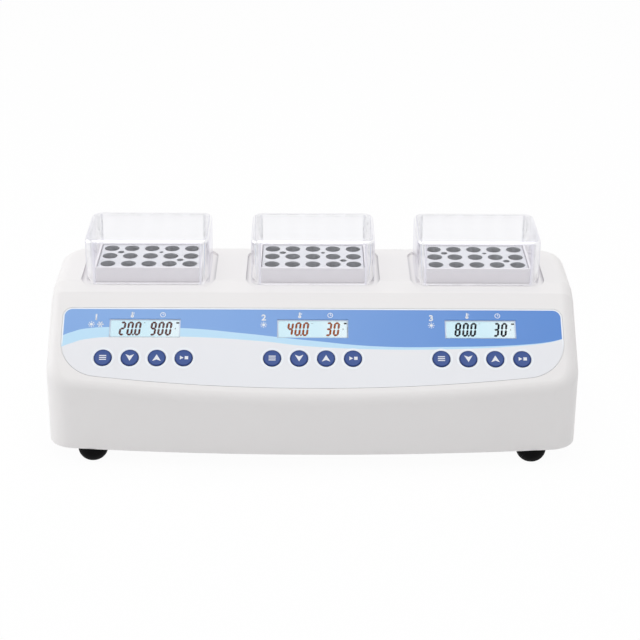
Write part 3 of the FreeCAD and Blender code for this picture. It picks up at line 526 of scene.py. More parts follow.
def from_key(across, uphill):
    """Distance from the nearest key, as if the row of keys had no gaps."""
    pitch = KEY_PITCH / MM
    cell = (from_station(across) / pitch + len(KEY_NAMES)).fraction()
    return ((cell - 0.5) * pitch).hypot(uphill)


def past(place, straight):
    """How far a place lies past the end of a straight stretch, 0 along it."""
    return (place - straight).most(0)


def case_finish(case):
    """Moulded plastic, with painted shade along the side walls of the lid seats."""
    wall_reach = 0.15
    fading_share = 0.6
    finish = Finish("case_plastic")
    low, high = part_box("lid_middle")
    middle = (low + high) / 2 / MM
    corner = case.seat_corner / MM
    straight = (high - low) / 2 / MM + Vector((1, 1, 0)) * (case.seat_margin / MM - corner)
    past_side = past(from_station(finish.x / MM).size(), straight.x)
    past_end = past((finish.y / MM - middle.y).size(), straight.y)
    reach = past_side.hypot(past_end)
    # Painted shade: darker along the side walls of each seat, fading round its ends, and only near the top.
    near_wall = finish.ramp(reach, corner - case.dust_width / MM, corner) * (reach < corner + wall_reach)
    beside_lid = 1 - finish.ramp(past_end, 0, corner * fading_share)
    near_top = finish.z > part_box("upper_housing")[1].z - case.dust_depth
    return finish.moulded(
        case.plastic, case.grain, depth=0.012 * MM, roughness=0.42, spread=0.012,
        painted_shade=(near_wall * beside_lid * near_top, case.dust),
    )


# Edges of the printed wave, from the panel's left end to its right: place across, place above the keys.
WAVE_HALF = 180.0
WAVE_RISE = 30.0
BAND_EDGE = (
    (-180, 17.0), (-172, 20.7), (-160, 23.7), (-145, 24.7), (-94, 24.0), (-52, 20.2), (-2, 14.4), (55, 9.5),
    (90, 9.5), (148, 11.4), (180, 16.8),
)
STRIPE_EDGE = (
    (-180, 8.2), (-172, 11.7), (-160, 15.2), (-145, 16.7), (-94, 17.1), (-38, 13.8), (0, 9.5), (48, 7.4),
    (90, 7.6), (148, 10.6), (180, 16.6),
)

# Where the band's blue deepens across the panel, and where the white border starts up its ends.
DEEPENING = (-150, 215)
BORDER_START = (6, 14)

# Softness of the print's edges: of the wave, of the border and of the rings round the keys.
WAVE_BLUR = 0.12
BORDER_BLUR = 0.15
HALO_BLUR = 0.6


def above_wave(finish, across, uphill, edge):
    """1 above an edge of the wave, 0 below it."""
    spots = [((u + WAVE_HALF) / (2 * WAVE_HALF), t / WAVE_RISE) for u, t in edge]
    along = (across + WAVE_HALF) / (2 * WAVE_HALF)
    height = finish.node("ShaderNodeFloatCurve", {"points": spots}, {"Value": along}) * WAVE_RISE
    return finish.ramp(uphill - height, -WAVE_BLUR, WAVE_BLUR)


def border_line(finish, panel, across, uphill):
    """1 on the white line along the film's upper edge and round its upper corners."""
    high = panel_span("panel_overlay")[1]
    corner = panel.corner / MM
    inner = corner - panel.border / MM
    past_side = past(across.size(), high.x / MM - corner)
    past_top = past(uphill, (high.y - KEY_ROW) / MM - corner)
    line = finish.ramp(past_side.hypot(past_top), inner - BORDER_BLUR, inner)
    return line * finish.ramp(uphill, *BORDER_START)


def key_halo(finish, panel, across, uphill):
    """1 inside the pale ring round each key."""
    low, high = panel_span("key_middle_up")
    outer = (high.x - low.x) / 2 / MM + panel.halo / MM
    near_keys = from_station(across).size() < len(KEY_NAMES) / 2 * KEY_PITCH / MM
    return (1 - finish.ramp(from_key(across, uphill), outer - HALO_BLUR, outer)) * near_keys


def panel_finish(panel):
    """Printed film: a blue band over a light stripe over a pale field, with a pale ring round each key."""
    finish = Finish("panel_film")
    across, uphill = panel_place(finish)
    band = above_wave(finish, across, uphill, BAND_EDGE)
    stripe = above_wave(finish, across, uphill, STRIPE_EDGE)
    blue = finish.mix(finish.ramp(across, *DEEPENING), panel.blue, panel.deep)
    print_colour = finish.mix(stripe, panel.paper, panel.sky)
    print_colour = finish.mix(band, print_colour, blue)
    print_colour = finish.mix(border_line(finish, panel, across, uphill), print_colour, panel.ink)
    print_colour = finish.mix(key_halo(finish, panel, across, uphill), print_colour, panel.ink)
    slow = finish.noise(45 * MM, 3)
    fine = finish.noise(0.35 * MM)
    shaded = finish.mix(slow * 0.06, print_colour, tone(150, 170, 205))
    gloss = 0.36 + fine.swing(0.1) + slow.swing(0.05)
    bump = finish.bump(fine, 0.006 * MM)
    return finish.coat(Base_Color=shaded, Roughness=gloss, Normal=bump, Coat_Weight=slow * 0.15)


def display_finish(display):
    """A lit field inside a pale unlit rim, bluer to one side and whiter to the other with a painted
    highlight.
    """
    highlight_span = (2.0, 24.0)
    wander = 18
    finish = Finish("display_face")
    across, uphill = panel_place(finish)
    beside = from_station(across)
    low, high = panel_span("lcd_window_middle")
    lit_half = (high - low) / 2 / MM - Vector((1, 1, 0)) * (display.rim / MM)
    middle = (panel_middle("lcd_window_middle").y - KEY_ROW) / MM
    inside = (beside.size() < lit_half.x) * ((uphill - middle).size() < lit_half.y)
    slow = finish.noise(14 * MM, 1)
    # Painted highlight: the lit field turns whiter towards the right of each display.
    white = finish.ramp(beside + slow.swing(wander), *highlight_span)
    field = finish.mix(white, display.cool, display.warm)
    lit = finish.mix(inside, (0.0, 0.0, 0.0), field)
    shell = finish.mix(inside, tone(214, 224, 236), tone(60, 66, 70))
    gloss = 0.35 + slow.swing(0.1)
    return finish.coat(Base_Color=shell, Roughness=gloss, Emission_Color=lit, Emission_Strength=0.9)


# Limits in the clear plastic: three on the largest part of the normal, which is 1 on a flat wall, and one on
# how far a wall is turned from the eye.
ROUNDED = (0.8, 0.98)
CREASE_START = (0.9, 0.97)
CREASE_END = (0.99, 0.998)
EDGE_ON = (0.72, 0.95)


def clear_finish(name, tint, edge, glance, brim):
    """Clear plastic as a thin wall: open where it faces the eye, shiny at a glance and along its edges."""
    finish = Finish(name)
    streak = finish.noise(30 * MM)
    facing = finish.node("ShaderNodeLayerWeight", inputs={"Blend": 0.5}, output="Facing")
    normal = finish.node("ShaderNodeTexCoord", output="Normal")
    flatness = reduce(Wire.most, [finish.part_of(normal, axis).size() for axis in "XYZ"])
    rounded = 1 - finish.ramp(flatness, *ROUNDED)
    crease = (1 - finish.ramp(flatness, *CREASE_END)) * finish.ramp(flatness, *CREASE_START)
    outline = finish.ramp(facing, *EDGE_ON)
    shine = (facing * glance).most(rounded * brim).most(outline * 0.8).most(crease * brim)
    shine = shine * (1 - finish.ray("Shadow", "Diffuse") * 0.9)
    shade = finish.mix(outline.most(crease * 0.5), (1.0, 1.0, 1.0), edge)
    film = finish.surface(Base_Color=shade, Metallic=1.0, Roughness=0.05 + streak * 0.05)
    open_way = finish.node("ShaderNodeBsdfTransparent", inputs={"Color": tint})
    return finish.show(finish.node("ShaderNodeMixShader", inputs={0: shine, 1: open_way, 2: film}))


def key_finish(key):
    """Soft-touch cap, its blue darkened towards the rim with painted shade."""
    rim_start, rim_end = 4.9, 6.1
    finish = Finish("key_cap")
    rim = finish.ramp(from_key(*panel_place(finish)), rim_start, rim_end)
    fine = finish.noise(0.25 * MM)
    slow = finish.noise(8 * MM)
    # Painted shade: the cap's blue darkens towards its rim.
    shade = finish.mix(rim * 0.85 + slow * 0.1, key.cap, key.rim)
    gloss = 0.5 + fine.swing(0.15)
    bump = finish.bump(fine, 0.01 * MM)
    return finish.coat(Base_Color=shade, Roughness=gloss, Normal=bump, Specular_IOR_Level=0.25)


def ink_finish(name, shade):
    finish = Finish(name)
    fine = finish.noise(0.3 * MM)
    faded = tuple(channel * 0.9 for channel in shade)
    tint = finish.mix(fine, faded, shade)
    return finish.coat(Base_Color=tint, Roughness=0.4 + fine * 0.15, Specular_IOR_Level=0.06)


def metal_finish(name, shade, grain, roughness, stretch=(1, 1, 1)):
    """Blasted, brushed or plated metal: a small stretch draws the grain out along its axis."""
    finish = Finish(name)
    fine = finish.noise(grain, 3, stretch)
    slow = finish.noise(20 * MM)
    darker = tuple(channel * 0.86 for channel in shade)
    tint = finish.mix(slow * 0.5 + fine * 0.5, darker, shade)
    gloss = roughness + fine.swing(0.16)
    bump = finish.bump(fine, 0.01 * MM)
    return finish.coat(Base_Color=tint, Roughness=gloss, Metallic=1.0 - slow * 0.1, Normal=bump)


# Flat signs, drawn in millimetres round their own middle.

def bar(width, height, x=0.0, y=0.0, turn=0.0):
    piece = primitive("plane", "bar", size=1)
    spot = Matrix.Translation((x * MM, y * MM, 0)) @ Matrix.Rotation(math.radians(turn), 4, "Z")
    settle(piece, spot @ Matrix.Diagonal((width * MM, height * MM, 1, 1)))
    return piece


def disc(radius, y=0.0, sides=40):
    piece = primitive("circle", "disc", vertices=sides, radius=radius * MM, fill_type="NGON")
    settle(piece, Matrix.Translation((0, y * MM, 0)))
    return piece


def ring(radius, width):
    piece = disc(radius)
    with editing(piece):
        bpy.ops.mesh.select_all(action="SELECT")
        bpy.ops.mesh.inset(thickness=width * MM)
        bpy.ops.mesh.delete(type="FACE")
    return piece


def arrow(radius=3.5, notch=1.2, turn=0.0):
    """An arrowhead whose base is notched."""
    piece = disc(radius, sides=3)
    with editing(piece):
        pick(piece, "edges", lambda edge: all(v.co.y < 0 for v in edge.verts))
        bpy.ops.mesh.subdivide(number_cuts=1)
        pick(piece, "verts", lambda v: abs(v.co.x) < NEAR and v.co.y < 0)
        bpy.ops.transform.translate(value=(0, notch * MM, 0))
    middle = Matrix.Translation((0, -radius / 4 * MM, 0))
    settle(piece, Matrix.Rotation(math.radians(turn), 4, "Z") @ middle)
    return piece


def numeral(text, height, bolder=0.24):
    capital_share = 0.7
    deselect()
    bpy.ops.object.text_add()
    piece = bpy.context.active_object
    piece.data.body = text
    piece.data.size = height * MM / capital_share
    piece.data.align_x = "CENTER"
    piece.data.align_y = "CENTER"
    piece.data.resolution_u = 6
    piece.data.offset = bolder * MM
    bpy.ops.object.convert(target="MESH")
    return bpy.context.active_object


def round_angles(count):
    """The angles of a number of rays in degrees, each with its cosine and sine."""
    angles = [360 / count * ray for ray in range(count)]
    return [(a, math.cos(math.radians(a)), math.sin(math.radians(a))) for a in angles]


def menu_sign():
    return [bar(width=5.0, height=0.75, y=1.5 * row) for row in (-1, 0, 1)]


def start_sign(radius=1.75):
    """A triangle that points right, beside a square."""
    play = disc(radius, sides=3)
    settle(play, Matrix.Translation((-radius * MM, 0, 0)) @ Matrix.Rotation(math.radians(-90), 4, "Z"))
    return [play, bar(width=2.5, height=2.5, x=2.0)]


def thermometer_sign():
    glass = [disc(radius=1.15, y=-1.35), disc(radius=0.6, y=1.6), bar(width=1.2, height=2.9, y=0.1)]
    return glass + [bar(width=0.9, height=0.36, x=1.25, y=0.5 + 0.85 * step) for step in range(2)]


def clock_sign():
    hands = [bar(width=0.42, height=1.4, y=0.55), bar(width=1.15, height=0.42, x=0.42)]
    return [ring(radius=2.0, width=0.46)] + hands


def heat_sign(reach=1.95):
    rays = [bar(width=0.95, height=0.5, x=reach * x, y=reach * y, turn=a) for a, x, y in round_angles(8)]
    return [disc(radius=1.1)] + rays


def cold_sign(reach=1.75, lean=60):
    arms = [bar(width=4.8, height=0.5, turn=a) for a, _, _ in round_angles(6)[:3]]
    for a, x, y in round_angles(6):
        turns = (a - lean, a + lean)
        arms += [bar(width=1.1, height=0.4, x=reach * x, y=reach * y, turn=turn) for turn in turns]
    return arms


def raised(parts, name, depth):
    """Join the flat parts of a sign and give it the depth of the print."""
    sign = joined(parts, name)
    with editing(sign):
        bpy.ops.mesh.select_all(action="SELECT")
        bpy.ops.mesh.extrude_region_move(TRANSFORM_OT_translate={"value": (0, 0, depth)})
        face_outwards()
    return sign


# Operators, one for each group of pieces.

class HEATER_OT_case(bpy.types.Operator):
    """Finish the moulded case, its base and its rubber feet"""
    bl_idname = "heater.case"
    bl_label = "Case"

    def execute(self, context):
        case = context.scene.heater.case
        paint(case_finish(case), "upper_housing", "base_plate")
        paint(rubber_finish(case), *(n for n in NODES if n.startswith(("foot_front", "foot_back"))))
        return {"FINISHED"}


# Places of the printed signs in millimetres: across from the middle of a display, and up from the keys. A
# block that both heats and cools has a pair of signs, one to each side of the column.
NUMBER_HEIGHT = 4.6
COLUMN = -35.2
PAIR_SHIFT = 3.2
HEAT_ROW = 26.8
SIGN_PLACES = {
    "number": (COLUMN, 32.4), "heat": (COLUMN, HEAT_ROW), "thermometer": (-9.4, 34.8), "clock": (12.6, 34.7),
}
PAIRED_PLACES = {"heat": (COLUMN - PAIR_SHIFT, HEAT_ROW), "cold": (COLUMN + PAIR_SHIFT, HEAT_ROW)}
COOLED_STATION = "left"


class HEATER_OT_panel(bpy.types.Operator):
    """Print the panel's film and lay the signs on it"""
    bl_idname = "heater.panel"
    bl_label = "Panel"

    def execute(self, context):
        panel = context.scene.heater.panel
        depth = panel.print_depth
        paint(panel_finish(panel), "panel_overlay")
        ink = ink_finish("panel_ink", panel.ink)
        drawn = {"heat": heat_sign, "cold": cold_sign, "thermometer": thermometer_sign, "clock": clock_sign}
        signs = {name: raised(draw(), f"sign_{name}", depth) for name, draw in drawn.items()}
        for index, station in enumerate(STATIONS, 1):
            middle = panel_middle(f"lcd_window_{station}").x
            digit = raised([numeral(str(index), NUMBER_HEIGHT)], "sign_number", depth)
            places = SIGN_PLACES | (PAIRED_PLACES if station == COOLED_STATION else {})
            for name, (across, uphill) in places.items():
                spot = on_panel(middle + across * MM, KEY_ROW + uphill * MM, PANEL_FACE)
                sign = copied(signs.get(name, digit), f"sign_{name}_{station}", spot)
                dress(sign, "case", "panel_film", ink)
            discard(digit)
        discard(*signs.values())
        return {"FINISHED"}


# Segments of a numeral, lettered as usual: a on top, then clockwise, g across the middle.
LIT = {
    "0": "abcdef", "1": "bc", "2": "abged", "3": "abgcd", "4": "fgbc",
    "5": "afgcd", "6": "afgecd", "7": "abc", "8": "abcdefg", "9": "abcdfg",
}
SEGMENT_KINDS = dict.fromkeys("adg", "across") | dict.fromkeys("bcef", "upright") | {".": "point"}
READINGS = {
    "left": ("20.0", "900", (96, 58, 56)),
    "middle": ("40.0", "30", (160, 78, 32)),
    "right": ("80.0", "30", (16, 12, 28)),
}

# Sizes of the numerals in millimetres: their depth, the right ends of the two numbers from the middle of a
# window, and how far the numerals and the small marks lie behind its glass.
SEGMENT_DEPTH = 0.06
WARMTH_END = -2.9
MINUTES_END = 19.2
NUMERALS_BEHIND = 0.44
MARKS_BEHIND = 0.47

# Shares of a segment: its length in the space for it, its cut-off corners, and the length of the point.
SEGMENT_LENGTH = 0.94
SEGMENT_CORNER = 0.46
POINT_LENGTH = 1.05


class HEATER_OT_displays(bpy.types.Operator):
    """Light the displays and draw their numerals"""
    bl_idname = "heater.displays"
    bl_label = "Displays"

    def segment(self, span, thick, turn=0.0):
        """A flat bar with cut-off corners."""
        piece = primitive("cube", "segment", size=1)
        settle(piece, Matrix.Diagonal((span, thick, SEGMENT_DEPTH * MM, 1)))
        with editing(piece):
            pick(piece, "edges", upright)
            bpy.ops.mesh.bevel(offset=thick * SEGMENT_CORNER, segments=1, affect="EDGES")
        settle(piece, Matrix.Rotation(turn, 4, "Z"))
        return piece

    def reading(self, text, right_end, display, segments):
        """The numerals of one number, drawn back from its right end."""
        half_run = (display.digit_width - display.segment) / 2
        rise = (display.digit_height - display.segment) / 2
        places = {
            "a": (0, rise), "b": (half_run, rise / 2), "c": (half_run, -rise / 2), "d": (0, -rise),
            "e": (-half_run, -rise / 2), "f": (-half_run, rise / 2), "g": (0, 0),
            ".": (display.digit_pitch / 2, -rise),
        }
        pieces = []
        middle = right_end - display.digit_width / 2
        for sign in reversed(text):
            for letter in LIT.get(sign, sign):
                x, y = places[letter]
                model = segments[SEGMENT_KINDS[letter]]
                pieces.append(copied(model, "stroke", Matrix.Translation((middle + x, y, 0))))
            if sign in LIT:
                middle -= display.digit_pitch
        return pieces

    def execute(self, context):
        display = context.scene.heater.display
        paint(display_finish(display), *(f"lcd_module_{s}" for s in STATIONS))
        edge = tone(225, 230, 240)
        window = clear_finish("clear_window", (0.98, 0.99, 0.995), edge, glance=0.03, brim=0.0)
        paint(window, *(f"lcd_window_{s}" for s in STATIONS))
        thick = display.segment
        run = (display.digit_width - thick) * SEGMENT_LENGTH
        rise = (display.digit_height - thick) / 2 * SEGMENT_LENGTH
        segments = {
            "across": self.segment(run, thick),
            "upright": self.segment(rise, thick, turn=math.pi / 2),
            "point": self.segment(thick * POINT_LENGTH, thick),
        }
        drawn = [bar(2.1, 1.15, x=23.4, y=4.8), bar(0.9, 0.3, x=-0.4, y=4.9), bar(0.5, 1.0, x=21.8, y=0.2)]
        marks = raised(drawn, "marks", SEGMENT_DEPTH * MM)
        mark_ink = ink_finish("display_marks", tone(24, 22, 28))
        lean = Matrix.Identity(4)
        lean[0][1] = display.slant
        for station, (warmth, minutes, shade) in READINGS.items():
            strokes = self.reading(warmth, WARMTH_END * MM, display, segments)
            strokes += self.reading(minutes, MINUTES_END * MM, display, segments)
            numerals = joined(strokes, f"numerals_{station}")
            numerals.data.transform(lean)
            middle = panel_middle(f"lcd_window_{station}")
            settle(numerals, on_panel(middle.x, middle.y + display.lift, GLASS_BACK - NUMERALS_BEHIND * MM))
            dress(numerals, "case", "display_face", ink_finish(f"numerals_{station}", tone(*shade)))
            spot = on_panel(middle.x, middle.y, GLASS_BACK - MARKS_BEHIND * MM)
            dress(copied(marks, f"marks_{station}", spot), "case", "display_face", mark_ink)
        discard(marks, *segments.values())
        return {"FINISHED"}


# A key's face in millimetres: how far in from its side the dish starts and reaches its depth, the fall of
# the face up to the dish, and the depth of the key signs.
DISH_START = 1.1
DISH_END = 1.6
DISH_FALL = 0.02
KEY_SIGN_DEPTH = 0.04


class HEATER_OT_keys(bpy.types.Operator):
    """Model the key caps and lay a sign on each"""
    bl_idname = "heater.keys"
    bl_label = "Keys"

    def turned(self, name, profile, sides=72):
        """A closed body of revolution about Z through (radius, height) steps, from the bottom up."""
        piece = primitive("circle", name, vertices=sides, radius=profile[0][0], fill_type="NGON")
        with editing(piece):
            bpy.ops.mesh.select_all(action="SELECT")
            for (r0, z0), (r1, z1) in zip(profile, profile[1:]):
                bpy.ops.mesh.extrude_region_move(TRANSFORM_OT_translate={"value": (0, 0, z1 - z0)})
                if r1 != r0:
                    bpy.ops.transform.resize(value=(r1 / r0, r1 / r0, 1), center_override=(0, 0, z1))
            face_outwards()
        return piece

    def cap(self, key, flange, tall, steps=4):
        """A turned cap: stem, flange, rounded edge and a shallow dish in its face."""
        radius = flange - key.flange_width
        profile = [
            (key.stem, 0), (key.stem, key.stem_height),
            (flange, key.stem_height), (flange, key.flange_height),
            (radius, key.flange_height), (radius, tall - key.edge),
        ]
        for step in range(1, steps + 1):
            turn = math.radians(90 * step / steps)
            profile.append((
                radius - key.edge * (1 - math.cos(turn)), tall - key.edge * (1 - math.sin(turn)),
            ))
        profile.append((radius - DISH_START * MM, tall - DISH_FALL * MM))
        profile.append((radius - DISH_END * MM, tall - key.dish))
        piece = self.turned("cap", profile)
        smooth(piece)
        return piece

    def execute(self, context):
        key = context.scene.heater.key
        finish = key_finish(key)
        sign_ink = ink_finish("key_ink", key.sign)
        low, high = panel_span("key_middle_up")
        cap = self.cap(key, flange=(high.x - low.x) / 2, tall=high.z - low.z)
        drawn = {"menu": menu_sign(), "down": [arrow(turn=180)], "up": [arrow()], "start": start_sign()}
        signs = {name: raised(parts, f"sign_{name}", KEY_SIGN_DEPTH * MM) for name, parts in drawn.items()}
        for station in STATIONS:
            for name in KEY_NAMES:
                node = f"key_{station}_{name}"
                low, high = panel_span(node)
                middle = (low + high) / 2
                spot = on_panel(middle.x, middle.y, low.z)
                dress(copied(cap, f"cap_{station}_{name}", spot), node, "key_cap", finish, node)
                spot = on_panel(middle.x, middle.y, high.z - key.dish)
                dress(copied(signs[name], f"sign_{name}_{station}", spot), node, "key_cap", sign_ink)
        discard(cap, *signs.values())
        return {"FINISHED"}


class HEATER_OT_lids(bpy.types.Operator):
    """Model the clear lids"""
    bl_idname = "heater.lids"
    bl_label = "Lids"

    def cover(self, lid, low, high):
        """A box with rounded upright corners and upper edges, hollowed to a thin wall and open below."""

        def level(edge, height):
            return all(abs(v.co.z - height) < NEAR for v in edge.verts)

        def foot(edge):
            slopes = [face.normal.z for face in edge.link_faces]
            return level(edge, low.z) and max(slopes) - min(slopes) > 0.5

        piece = primitive("cube", "cover", size=1)
        settle(piece, Matrix.Translation((low + high) / 2) @ Matrix.Diagonal((*(high - low), 1)))
        with editing(piece):
            pick(piece, "edges", upright)
            bpy.ops.mesh.bevel(offset=lid.corner, segments=10, affect="EDGES")
            pick(piece, "edges", lambda edge: level(edge, high.z))
            bpy.ops.mesh.bevel(offset=lid.edge, segments=6, affect="EDGES")
            pick(piece, "faces", lambda face: face.normal.z < -0.9)
            bpy.ops.mesh.delete(type="FACE")
        modify(piece, "SOLIDIFY", thickness=lid.wall, offset=-1, use_even_offset=True)
        with editing(piece):
            pick(piece, "edges", foot)
            bpy.ops.mesh.bevel(offset=lid.foot, segments=3, affect="EDGES")
        smooth(piece)
        modify(piece, "WEIGHTED_NORMAL", keep_sharp=True)
        return piece

    def execute(self, context):
        lid = context.scene.heater.lid
        finish = clear_finish("clear_lid", lid.tint, lid.outline, lid.glance, lid.brim)
        low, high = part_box("lid_middle")
        cover = self.cover(lid, low, high)
        for station in STATIONS:
            node = f"lid_{station}"
            shift = Matrix.Translation(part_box(node)[0] - low)
            dress(copied(cover, f"cover_{station}", shift), node, "clear_lid", finish, node)
        discard(cover)
        return {"FINISHED"}


class HEATER_OT_blocks(bpy.types.Operator):
    """Finish the blocks, their collars and their screws"""
    bl_idname = "heater.blocks"
    bl_label = "Blocks"

    def execute(self, context):
        metal = context.scene.heater.metal
        blasted = metal_finish("block_aluminium", metal.block, grain=0.25 * MM, roughness=0.42)
        paint(blasted, *(f"block_{s}" for s in STATIONS), *(f"heat_plate_{s}" for s in STATIONS))
        satin = Finish("collar_metal").moulded(
            metal.collar, grain=0.4 * MM, depth=0.01 * MM, roughness=0.45, spread=0.015,
        )
        paint(satin, *(f"collar_{s}" for s in STATIONS))
        steel = metal_finish("screw_steel", metal.steel, grain=0.4 * MM, roughness=0.32)
        paint(steel, *(n for n in NODES if n.endswith("_screws")), "board_standoffs", "temperature_sensors")
        return {"FINISHED"}


# Finishes inside the case and on its back: colour, grain and depth in millimetres, roughness and nodes.
INNER_FINISHES = {
    "circuit_board": ((24, 92, 52), 0.6, 0.02, 0.4, ("display_board", "control_board", "power_supply")),
    "heater_silicone": ((186, 84, 44), 0.8, 0.05, 0.6, ("heater_pad_middle", "heater_pad_right")),
    "insulation_foam": ((226, 222, 208), 1.2, 0.2, 0.9, ("insulation_middle", "insulation_right")),
    "ceramic": ((238, 238, 234), 0.4, 0.01, 0.3, ("cooling_module",)),
    "fan_plastic": ((30, 30, 32), 0.5, 0.02, 0.45, ("fan_frame", "fan_rotor")),
    "service_plastic": (
        (28, 28, 30), 0.4, 0.015, 0.35, ("power_inlet", "switch_frame", "switch_rocker", "thermal_cutouts"),
    ),
}


class HEATER_OT_inside(bpy.types.Operator):
    """Finish what is inside the case and the plastic on its back"""
    bl_idname = "heater.inside"
    bl_label = "Inside"

    def execute(self, context):
        for name, (shade, grain, depth, roughness, nodes) in INNER_FINISHES.items():
            finish = Finish(name).moulded(tone(*shade), grain * MM, depth * MM, roughness, spread=0.08)
            paint(finish, *nodes)
        shade = tone(196, 198, 202)
        finish = metal_finish("heat_sink_aluminium", shade, 0.4 * MM, 0.4, stretch=(1, 0.05, 1))
        paint(finish, "heat_sink")
        return {"FINISHED"}


# Pins of the mains inlet in millimetres: middle along Y, size, easing of the tip, and places across and up.
PIN_MIDDLE = 60.0
PIN_SIZE = (2.1, 9.6, 4.1)
PIN_TIP = 0.5
PINS = {"line": (97.0, 43.0), "neutral": (111.0, 43.0), "earth": (104.0, 47.0)}

# Marks on the rocker in millimetres: their distance from the hinge and their depth.
MARK_RISE = 4.2
MARK_DEPTH = 0.05


class HEATER_OT_back(bpy.types.Operator):
    """Plate the pins of the mains inlet and mark the halves of the power switch"""
    bl_idname = "heater.back"
    bl_label = "Back"

    def pin(self):
        """A flat pin with an eased tip, to be fitted over the one in the socket."""
        piece = primitive("cube", "pin", size=1)
        settle(piece, Matrix.Diagonal([size * MM for size in PIN_SIZE] + [1]))
        with editing(piece):
            pick(piece, "edges", lambda edge: all(v.co.y > 0 for v in edge.verts))
            bpy.ops.mesh.bevel(offset=PIN_TIP * MM, segments=3, affect="EDGES")
        smooth(piece)
        return piece

    def execute(self, context):
        metal = context.scene.heater.metal
        plated = metal_finish("pin_nickel", metal.pin, 0.5 * MM, 0.28, stretch=(1, 0.1, 1))
        pin = self.pin()
        for name, (across, up) in PINS.items():
            spot = Matrix.Translation(Vector((across, PIN_MIDDLE, up)) * MM)
            dress(copied(pin, f"pin_{name}", spot), "case", "screw_steel", plated)
        discard(pin)
        hinge = JOINTS["switch_rock"]
        pivot = Vector(hinge["pos_m"])
        face = max(v.co.y for v in NODES["switch_rocker"].data.vertices if v.co.z < pivot.z) - pivot.y
        facing_back = Matrix(((-1, 0, 0), (0, 0, 1), (0, 1, 0))).to_4x4()
        halves = {
            "on": ([bar(width=0.7, height=3.0)], 0, -MARK_RISE),
            "off": ([ring(radius=1.5, width=0.55)], -hinge["range_deg"][1], MARK_RISE),
        }
        ink = ink_finish("rocker_ink", tone(238, 238, 238))
        for name, (parts, tilt, rise) in halves.items():
            turned = Matrix.Translation(pivot) @ Matrix.Rotation(math.radians(tilt), 4, "X")
            mark = raised(parts, f"mark_{name}", MARK_DEPTH * MM)
            settle(mark, turned @ Matrix.Translation((0, face, rise * MM)) @ facing_back)
            dress(mark, "switch_rocker", "service_plastic", ink)
        return {"FINISHED"}


# Stage in metres. Each lamp has a place, a point that it shines at and a width.
FLOOR_SIZE = 8
FLOOR_WHITE = 0.96
LAMPS = {
    "key": ((0.05, 0.1, 1.5), (0, 0, 0.1), 1.4),
    "fill": ((-0.5, -1.8, 0.7), (0, 0, 0.08), 1.2),
    "side": ((-1.3, 0.1, 0.35), (0, 0, 0.05), 0.9),
}
SENSOR_WIDTH_MM = 36
NEAREST_SEEN = 0.01


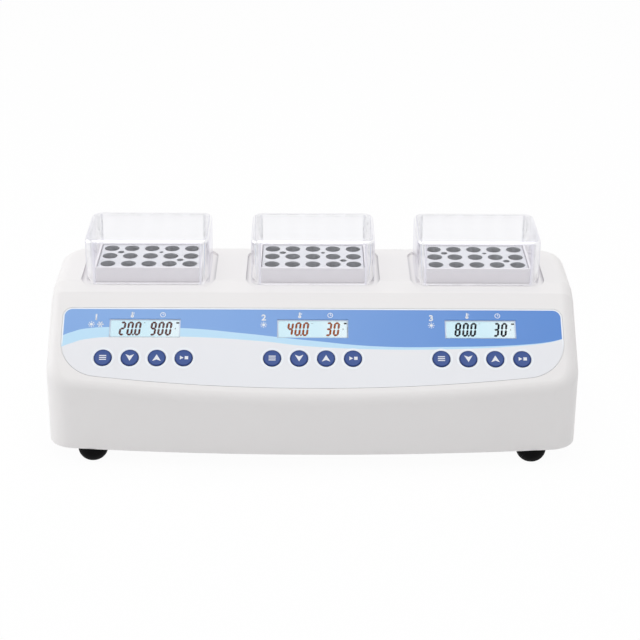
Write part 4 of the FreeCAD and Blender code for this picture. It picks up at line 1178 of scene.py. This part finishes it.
class HEATER_OT_stage(bpy.types.Operator):
    """Set the floor, the lamps and the camera"""
    bl_idname = "heater.stage"
    bl_label = "Stage"

    def floor(self, stage):
        """A matt floor that looks white but for a trace of its shadows."""
        piece = primitive("plane", "floor", size=FLOOR_SIZE)
        finish = Finish("floor")
        seen = finish.ray("Camera", "Glossy", "Transmission")
        matt = finish.node("ShaderNodeBsdfDiffuse", inputs={"Color": stage.floor})
        white = finish.node("ShaderNodeEmission", inputs={"Color": (1, 1, 1), "Strength": 1.0})
        finish.show(finish.node("ShaderNodeMixShader", inputs={0: seen * FLOOR_WHITE, 1: matt, 2: white}))
        piece.data.materials.append(finish.data)

    def world(self, context, stage):
        """White all round, and dimmer where it lights the surfaces."""
        studio = Finish("studio", "worlds")
        strength = 1 - studio.ray("Diffuse", "Volume Scatter") * (1 - stage.ambient)
        light = studio.node("ShaderNodeBackground", inputs={"Color": (1, 1, 1), "Strength": strength})
        studio.show(light, "World")
        context.scene.world = studio.data

    def lamp(self, name, place, aim, size, power):
        deselect()
        bpy.ops.object.light_add(type="AREA", location=place)
        lamp = bpy.context.active_object
        lamp.name = name
        lamp.data.energy = power
        lamp.data.size = size
        lamp.rotation_euler = (Vector(aim) - Vector(place)).to_track_quat("-Z", "Y").to_euler()

    def camera(self, context, stage):
        deselect()
        bpy.ops.object.camera_add(location=stage.camera_place)
        camera = bpy.context.active_object
        camera.name = "camera"
        camera.data.sensor_width = SENSOR_WIDTH_MM
        camera.data.lens = stage.lens
        camera.data.clip_start = NEAREST_SEEN
        turn = Matrix.Rotation(-stage.yaw, 3, "Z") @ Matrix.Rotation(math.pi / 2 - stage.pitch, 3, "X")
        turn = turn @ Matrix.Rotation(stage.roll, 3, "Z")
        camera.rotation_euler = turn.to_euler()
        context.scene.camera = camera

    def execute(self, context):
        stage = context.scene.heater.stage
        self.floor(stage)
        self.world(context, stage)
        for name, (place, aim, size) in LAMPS.items():
            self.lamp(f"{name}_lamp", place, aim, size, getattr(stage, f"{name}_light"))
        self.camera(context, stage)
        context.scene.view_settings.view_transform = "Standard"
        return {"FINISHED"}


OPERATORS = (
    HEATER_OT_case, HEATER_OT_panel, HEATER_OT_displays, HEATER_OT_keys, HEATER_OT_lids, HEATER_OT_blocks,
    HEATER_OT_inside, HEATER_OT_back, HEATER_OT_stage,
)


class HEATER_PT_sidebar(bpy.types.Panel):
    """Lists the steps that dress the heater"""
    bl_label = "Dry Block Heater"
    bl_space_type = "VIEW_3D"
    bl_region_type = "UI"
    bl_category = "Block Heater"

    def draw(self, context):
        for operator in OPERATORS:
            self.layout.operator(operator.bl_idname)
        for group in HEATER_PG_settings.__annotations__:
            settings = getattr(context.scene.heater, group)
            box = self.layout.box()
            box.label(text=group.title())
            for name in settings.__annotations__:
                box.prop(settings, name)


CLASSES = (
    HEATER_PG_case, HEATER_PG_panel, HEATER_PG_display, HEATER_PG_key, HEATER_PG_lid, HEATER_PG_metal,
    HEATER_PG_stage, HEATER_PG_settings, *OPERATORS, HEATER_PT_sidebar,
)


def register():
    for kind in CLASSES:
        bpy.utils.register_class(kind)
    bpy.types.Scene.heater = PointerProperty(type=HEATER_PG_settings)


def unregister():
    del bpy.types.Scene.heater
    for kind in reversed(CLASSES):
        bpy.utils.unregister_class(kind)


def main():
    register()
    for operator in OPERATORS:
        group, name = operator.bl_idname.split(".")
        getattr(getattr(bpy.ops, group), name)()


if __name__ == "__main__":
    main()
